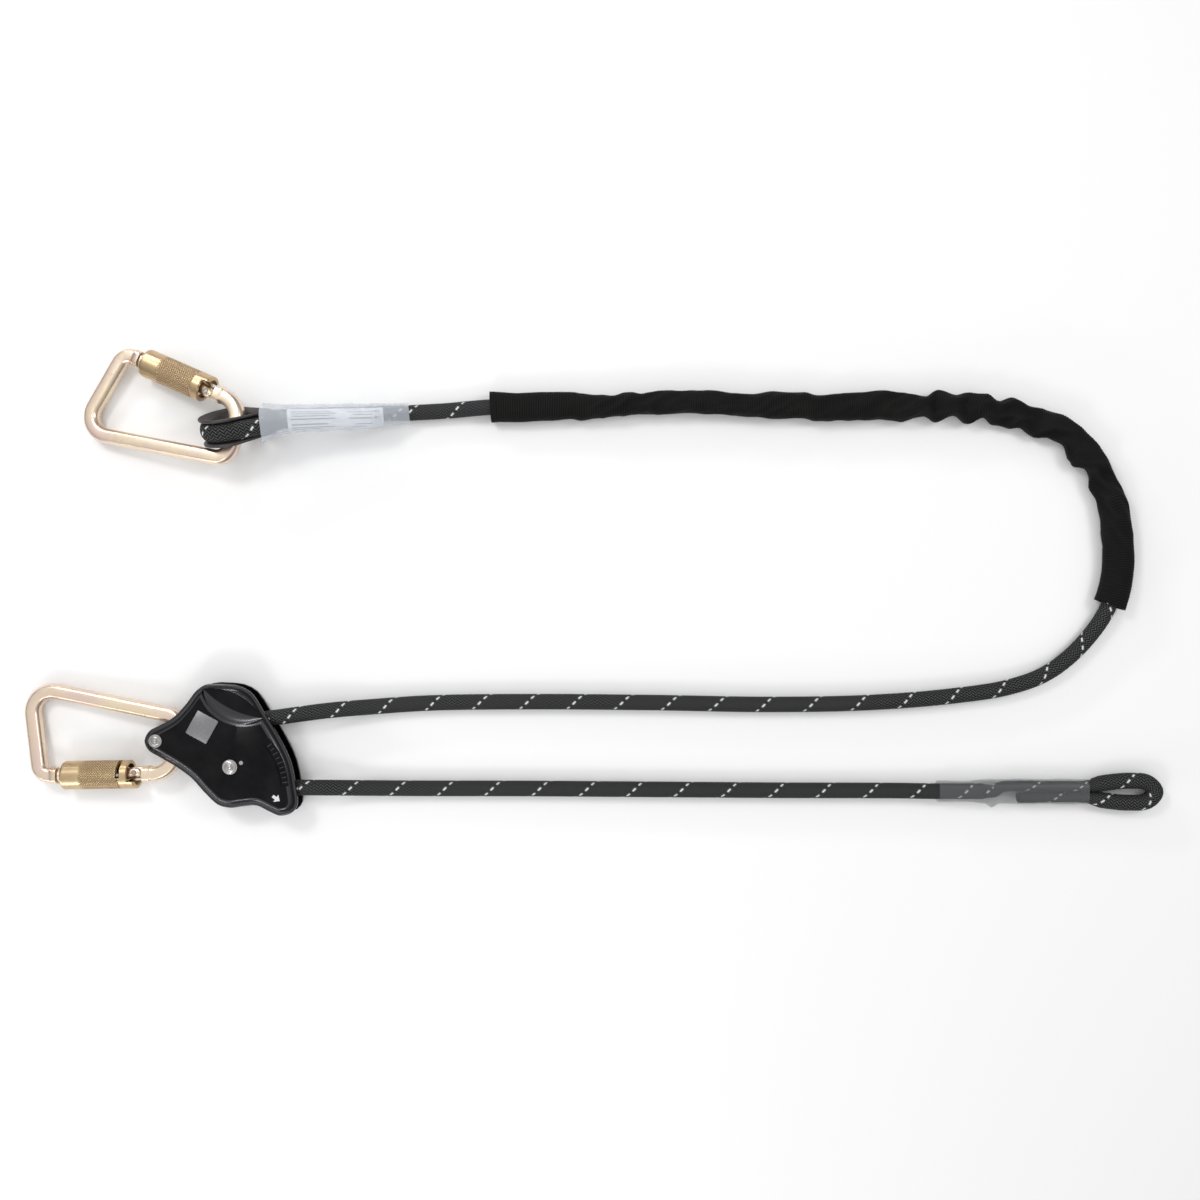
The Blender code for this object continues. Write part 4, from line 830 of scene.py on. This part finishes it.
def barrel(name, place, look):
    """The knurled locking sleeve: plain bands, then crossed knurls, cut back by the hinge."""
    stations = [(SLEEVE_FROM, SLEEVE_R - 0.0007), (SLEEVE_FROM + 0.0003, SLEEVE_R - 0.0002),
                (SLEEVE_FROM + 0.0007, SLEEVE_R)]
    stations += [(s, SLEEVE_R) for s in np.linspace(SLEEVE_FROM + 0.002, KNURL_FROM - 0.0007, 4)]
    stations += [(KNURL_FROM - 0.0004, SLEEVE_R - 0.0003), (KNURL_FROM - 0.0001, SLEEVE_R - 0.0003)]
    knurl_first = len(stations)
    stations += [(s, SLEEVE_R) for s in np.arange(KNURL_FROM, KNURL_TO, KNURL_PITCH / 6)]
    knurl_last = len(stations)
    stations += [(KNURL_TO + 0.0001, SLEEVE_R - 0.0003), (KNURL_TO + 0.0004, SLEEVE_R - 0.0003),
                 (KNURL_TO + 0.0007, SLEEVE_R), (SLEEVE_TO - 0.0020, SLEEVE_R),
                 (SLEEVE_TO - 0.0007, SLEEVE_R), (SLEEVE_TO - 0.0003, SLEEVE_R - 0.0002),
                 (SLEEVE_TO, SLEEVE_R - 0.0007), (SLEEVE_TO, SLEEVE_BORE_R), (SLEEVE_FROM, SLEEVE_BORE_R)]
    s = np.array([station[0] for station in stations])
    r = np.array([station[1] for station in stations])
    sides = 252
    turn = (np.arange(sides) + 0.5) * 2 * math.pi / sides
    starts = round(2 * math.pi * SLEEVE_R / KNURL_PITCH)
    lead = starts * turn[None, :] / (2 * math.pi)
    one = np.abs(np.mod(lead + s[:, None] / KNURL_PITCH, 1) - 0.5)
    two = np.abs(np.mod(lead - s[:, None] / KNURL_PITCH, 1) - 0.5)
    groove = np.clip(1 - np.minimum(one, two) / 0.22, 0, 1) * KNURL_DEPTH
    groove[:knurl_first] = 0
    groove[knurl_last:] = 0
    radius = r[:, None] - groove
    start, along, across = (np.array(v) for v in (gate_point(0), ALONG, ACROSS))
    outward = across * np.cos(turn)[:, None] + np.array(Z) * np.sin(turn)[:, None]
    rings = start + along * s[:, None, None] + outward[None] * radius[..., None]
    sleeve = grid_mesh(name, rings, look, looped=True)
    corners = ((-0.013, -0.013), (0.0055, -0.013), (0.0055, 0.013), (-0.013, 0.013))
    step = grid_mesh("step_cutter", [[gate_point(a, off, up) for off, up in corners]
                                     for a in (SLEEVE_FULL_TO, SLEEVE_TO + 0.001)], look)
    slot = []
    for i in range(19):
        t = -math.pi / 2 + math.radians(12) - (SLEEVE_TWIST + math.radians(24)) * i / 18
        out = ACROSS * math.cos(t) + Z * math.sin(t)
        slot.append([gate_point(a) + out * q for a, q in (
            (GUIDE_AT - 0.0016, 0.007), (GUIDE_AT + 0.0016, 0.007),
            (GUIDE_AT + 0.0016, 0.013), (GUIDE_AT - 0.0016, 0.013))])
    carve(sleeve, [step, grid_mesh("slot_cutter", slot, look)])
    # Painted shade: darker towards the bottom of each knurl groove.
    points = np.array([v.co - gate_point(0) for v in sleeve.data.vertices])
    far = points @ along
    deep = SLEEVE_R - np.linalg.norm(points - far[:, None] * along, axis=1)
    knurled = (far > KNURL_FROM) & (far < KNURL_TO) & (deep < KNURL_DEPTH * 1.5)
    share = np.where(knurled, np.clip(deep / KNURL_DEPTH, 0, 1), 0)[:, None]
    colour_points(sleeve.data, np.array(BARREL_GOLD) * (1 - share) + np.array(GROOVE_PAINTED_SHADE) * share)
    sleeve.data.transform(place)
    return sleeve


def carabiner(prefix, origin, heading, rise, roll, zinc, plate):
    """The bar with its hinge hole, and the locking sleeve; the gate and its pins are the plain solids."""
    place = Matrix.Translation(origin) @ Matrix.Rotation(math.radians(heading), 4, "Z")
    place = place @ Matrix.Rotation(math.radians(-rise), 4, "Y")
    place = place @ Matrix.Rotation(math.radians(roll), 4, "X")
    body = grid_mesh(prefix + "_bar", body_rings(), zinc, sharp=28)
    hole = [[gate_point(HINGE_AT, HINGE_OFF, up) + X * 0.0020 * math.cos(t) + Y * 0.0020 * math.sin(t)
             for t in full_turn(24)] for up in (-0.01, 0.01)]
    carve(body, [grid_mesh("hole_cutter", hole, zinc)])
    body.data.transform(place)
    settle(body, prefix + "_carabiner", prefix + "_carabiner_body", slot="yellow_zinc")
    sleeve = barrel(prefix + "_barrel", place, plate)
    settle(sleeve, prefix + "_locking_sleeve", prefix + "_locking_sleeve", slot="yellow_zinc")


# ---- Adjuster ----


def inset(outline, distance):
    """A closed clockwise outline moved inwards along its normals."""
    n, made = len(outline), []
    for i, p in enumerate(outline):
        along = (outline[(i + 1) % n] - outline[i - 1]).normalized()
        made.append(p + Vector((along.y, -along.x, 0)) * distance)
    return made


def arc_through(start, middle, end, count):
    """Points of the circle arc through three points, both ends included."""
    (ax, ay), (bx, by), (cx, cy) = start, middle, end
    d = 2 * (ax * (by - cy) + bx * (cy - ay) + cx * (ay - by))
    a2, b2, c2 = ax * ax + ay * ay, bx * bx + by * by, cx * cx + cy * cy
    ux = (a2 * (by - cy) + b2 * (cy - ay) + c2 * (ay - by)) / d
    uy = (a2 * (cx - bx) + b2 * (ax - cx) + c2 * (bx - ax)) / d
    radius = math.hypot(ax - ux, ay - uy)
    first, mid, last = (math.atan2(y - uy, x - ux) for x, y in (start, middle, end))
    turn = (last - first) % (2 * math.pi)
    if (mid - first) % (2 * math.pi) > turn:
        turn -= 2 * math.pi
    angles = (first + turn * i / (count - 1) for i in range(count))
    return [Vector((ux + radius * math.cos(t), uy + radius * math.sin(t), 0)) for t in angles]


def prism(name, outline, levels, look):
    """Joins copies of an outline about its centre at (height, share of its size)."""
    centre = sum(outline, Vector()) / len(outline)
    rings = [[centre.lerp(p, share) + Z * z for p in outline] for z, share in levels]
    return grid_mesh(name, rings, look)


def disc_points(xy, radius, count=64):
    return [Vector((xy[0] + radius * math.cos(t), xy[1] + radius * math.sin(t), 0))
            for t in (2 * math.pi * i / count for i in range(count))]


def turned(name, xy, profile, look, count=64):
    """A solid turned about a vertical axis, from (radius, height) pairs going up."""
    rings = [[p + Z * z for p in disc_points(xy, r, count)] for r, z in profile]
    return grid_mesh(name, rings, look)


def badge_outline(grow):
    turn = Matrix.Rotation(math.radians(BADGE_TURN), 3, "Z")
    half_x, half_y, r = BADGE_SIZE[0] / 2 + grow, BADGE_SIZE[1] / 2 + grow, 0.0009
    points = []
    for sx, sy, first in ((1, 1, 0), (-1, 1, 90), (-1, -1, 180), (1, -1, 270)):
        for k in range(5):
            t = math.radians(first + 22.5 * k)
            x, y = sx * (half_x - r) + r * math.cos(t), sy * (half_y - r) + r * math.sin(t)
            points.append(Vector((x, y, 0)))
    return [turn @ p + Vector((*BADGE_XY, 0)) for p in points]


def panel_line():
    return arc_through(PANEL_ENDS[0], PANEL_MIDDLE, PANEL_ENDS[1], 40)


def panel_outline():
    """A band that follows the plate's curved edge."""
    line = panel_line()
    left, right = [], []
    for i, p in enumerate(line):
        along = (line[min(i + 1, len(line) - 1)] - line[max(i - 1, 0)]).normalized()
        side = Vector((-along.y, along.x, 0)) * PANEL_HALF_W
        left.append(p + side)
        right.append(p - side)
    return left + right[::-1]


def scallop(top, look):
    """The thumb scallop's cutter: steep on its upper side, with a long slope on its lower side."""
    rings = []
    for depth, share, rise in ((-0.0010, 1.13, 0.0), (0.0, 1.10, 0.0), (0.0005, 1.04, 0.0),
                               (0.0006, 0.99, 0.0), (0.0014, 0.98, 0.05), (0.0021, 0.97, 0.11),
                               (0.0027, 0.96, 0.20), (0.0030, 0.95, 0.31), (SCALLOP_DEPTH, 0.94, 0.42)):
        low = Vector(SCALLOP_BOTTOM).lerp(Vector(SCALLOP_TOP), rise)
        lens = arc_through(SCALLOP_ENDS[0], SCALLOP_TOP, SCALLOP_ENDS[1], 40)
        lens += arc_through(SCALLOP_ENDS[1], low, SCALLOP_ENDS[0], 40)[1:-1]
        centre = sum(lens, Vector()) / len(lens)
        rings.append([centre.lerp(p, share) + Z * (top - depth) for p in lens])
    return grid_mesh("scallop", rings, look)


def front_plate(black, bevel):
    outline = smooth_curve([(x, y, 0) for x, y in HOUSING_OUTLINE], 7, closed=True)
    inner_z = PLATE_T + PLATE_GAP
    rings = [[Vector((p.x, p.y, inner_z + height)) for p in inset(outline, distance)]
             for height, distance in PLATE_LEVELS]
    plate = grid_mesh("front_cheek", rings, black)
    top = HOUSING_T
    cutters = [
        scallop(top, black),
        prism("pocket", badge_outline(GAP), [(top - BADGE_DEPTH, 1), (top + 0.002, 1)], black),
        prism("panel", panel_outline(), [(top - PANEL_DEPTH, 1), (top + 0.002, 1)], black),
    ]
    for name, xy, radius, count in (("pivot", (0, 0), PIVOT_HEAD_R + GAP, 64),
                                    ("nose", ATTACHMENT_XY, ATTACHMENT_HEAD_R + GAP, 64),
                                    ("post", SPRING_PIN_XY, 0.0019, 32)):
        disc = disc_points(xy, radius, count)
        cutters.append(prism(name, disc, [(top - 0.02, 1), (top + 0.002, 1)], black))
    carve(plate, cutters)
    plate.data.materials.append(bevel)
    # Faces tilted just under the top take the lighter bevel finish, a painted highlight on the edges and
    # walls.
    for face in plate.data.polygons:
        face.material_index = int(face.center.z > top - BEVEL_DEPTH and 0.12 < abs(face.normal.z) < 0.998)
    settle(plate, "lanyard", "front_plate", slot="black_anodised")


def pin_heads(steel):
    """The pins with eased edges and a faint turned dish in each head."""
    for name, node, xy, radius, shank in (
            ("pivot_rivet", "cam_pivot_pin", (0, 0), PIVOT_HEAD_R, 0.0036),
            ("attachment_rivet", "attachment_pin", ATTACHMENT_XY, ATTACHMENT_HEAD_R, 0.0042)):
        low, high = PLATE_T, HOUSING_T - PLATE_T
        top = HOUSING_T + 0.0002
        profile = [(radius - 0.0004, 0), (radius, 0.0004), (radius, low), (shank, low + 0.0003),
                   (shank, high - 0.0003), (radius, high), (radius, top - 0.0005),
                   (radius - 0.0002, top - 0.0001), (radius - 0.0006, top)]
        profile += [(radius * share, top - dip) for share, dip in (
            (0.80, 0.0), (0.74, 0.00030), (0.66, 0.00030), (0.62, 0.0001), (0.46, 0.0), (0.42, 0.0002),
            (0.34, 0.0002), (0.31, 0.0), (0.14, 0.0001), (0.04, 0.0006))]
        settle(turned(name, xy, profile, steel), "lanyard", node, slot="bright_steel")


def badge(metal):
    top = HOUSING_T + GAP
    tile = prism("badge_face", badge_outline(0), [(top - 0.0010, 1), (top - 0.0002, 1), (top, 0.97)], metal)
    settle(tile, "lanyard", "badge_tile", slot="bright_steel")


def marks(pale, bevel):
    """Plain ticks in the curved panel, and a small arrow by the tail's mouth."""
    line = panel_line()
    floor = HOUSING_T - PANEL_DEPTH
    levels = [(floor - 0.0001, 1), (floor + 0.0002, 1), (floor + 0.0003, 0.8)]
    corners = ((-1, -1), (1, -1), (1, 1), (-1, 1))
    for k in range(TICKS):
        i = 4 + 4 * k
        along = (line[min(i + 1, 39)] - line[i - 1]).normalized()
        side = Vector((-along.y, along.x, 0))
        half = 0.0016 if k % 2 else 0.0021
        outline = [line[i] + side * half * a + along * 0.0005 * b for a, b in corners]
        # The ticks take the lighter bevel finish, a painted highlight.
        settle(prism(f"panel_tick_{k}", outline, levels, bevel), "lanyard")
    shape = [(-0.0012, 0.0034), (0.0012, 0.0034), (0.0012, 0.0004), (0.0034, 0.0004), (0.0, -0.0034),
             (-0.0034, 0.0004), (-0.0012, 0.0004)]
    turn = Matrix.Rotation(math.radians(ARROW_TURN), 3, "Z")
    outline = [turn @ Vector((x, y, 0)) + Vector((*ARROW_XY, 0)) for x, y in shape]
    levels = [(HOUSING_T - 0.0001, 1), (HOUSING_T + 0.00005, 1)]
    settle(prism("release_arrow", outline, levels, pale), "lanyard")


# ---- Everything else ----


def paint_nodes(looks):
    """Gives each plain solid that stays visible its finish."""
    for name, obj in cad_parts.items():
        for ending, look in looks.items():
            if name.endswith(ending):
                obj.data.materials.clear()
                obj.data.materials.append(look)


def sky():
    """Bright overhead and darker towards the horizon, but pale where it is seen directly."""
    world = bpy.data.worlds.new("studio")
    world.use_nodes = True
    tree = world.node_tree
    place = add_node(tree, "ShaderNodeTexCoord")
    split = add_node(tree, "ShaderNodeSeparateXYZ")
    tree.links.new(place.outputs["Generated"], split.inputs["Vector"])
    shade = ramp(tree, split.outputs["Z"], 0.15, 0.90, (0.10, 0.10, 0.11), (0.92, 0.92, 0.92))
    seen = add_node(tree, "ShaderNodeLightPath")
    lift = add_node(tree, "ShaderNodeVectorMath", operation="MAXIMUM")
    tree.links.new(shade, lift.inputs[0])
    tree.links.new(seen.outputs["Is Camera Ray"], lift.inputs[1])
    tree.links.new(lift.outputs["Vector"], tree.nodes["Background"].inputs["Color"])
    return world


def stage():
    """A plain pale ground and soft light from above and the sides."""
    mesh = bpy.data.meshes.new("ground")
    mesh.from_pydata([(-4, -4, -0.0003), (4, -4, -0.0003), (4, 4, -0.0003), (-4, 4, -0.0003)], [],
                     [(0, 1, 2, 3)])
    ground = placed("ground", mesh)
    mesh.materials.append(new_look("ground", (0.92, 0.92, 0.92), 0.95)[0])
    bpy.context.scene.view_settings.view_transform = "Standard"
    bpy.context.scene.world = sky()
    lamps = [("key", (-0.5, 0.9, 1.3), 0.35, 0.35, 6.0),
             ("fill", (1.2, 0.5, 1.1), 0.35, 0.35, 3.0),
             ("near", (-0.1, -0.9, 0.9), 0.30, 0.30, 3.0),
             ("strip_left", (-0.60, -0.75, 0.32), 0.7, 0.09, 3.0),
             ("strip_far", (-0.25, 1.05, 0.40), 0.7, 0.09, 3.0)]
    for name, place, width, height, power in lamps:
        lamp = bpy.data.lights.new(name, "AREA")
        lamp.shape, lamp.size, lamp.size_y, lamp.energy = "RECTANGLE", width, height, power
        holder = placed(name, lamp)
        holder.location = place
        aim = Vector((0.28, 0.13, 0)) - Vector(place)
        holder.rotation_euler = aim.to_track_quat("-Z", "Y").to_euler()


def build():
    camera()
    rope, zinc, plate = rope_look(), zinc_look(), barrel_look()
    black, bevel, steel = anodised_look(), bevel_look(), steel_look()
    load_rope(rope, webbing_sleeve(webbing_look()))
    tail_rope(rope)
    rope_in_housing(rope)
    anchor_eye_rope(rope)
    thimble(plastic_look())
    anchor_eye_cover(film_look("anchor_film", (0.74, 0.79, 0.85), 0.30))
    anchor_eye_label(paint_look("label_white", (0.86, 0.86, 0.88)),
                     paint_look("label_ink", (0.13, 0.13, 0.15)))
    carabiner("grab", *GRAB_CARABINER, zinc, plate)
    carabiner("anchor", *ANCHOR_CARABINER, zinc, plate)
    front_plate(black, bevel)
    pin_heads(steel)
    badge(badge_look())
    marks(paint_look("mark_white", (0.70, 0.70, 0.70)), bevel)
    paint_nodes({"_plate": black, "_gate": zinc, "_pin": steel, "_rivet": steel, "_bush": steel,
                 "_spring": steel, "_plunger": steel, "cam": steel, "_anvil": steel, "_post": steel,
                 "_inner": steel, "_outer": steel, "_front": steel, "_rear": steel})
    stage()


build()
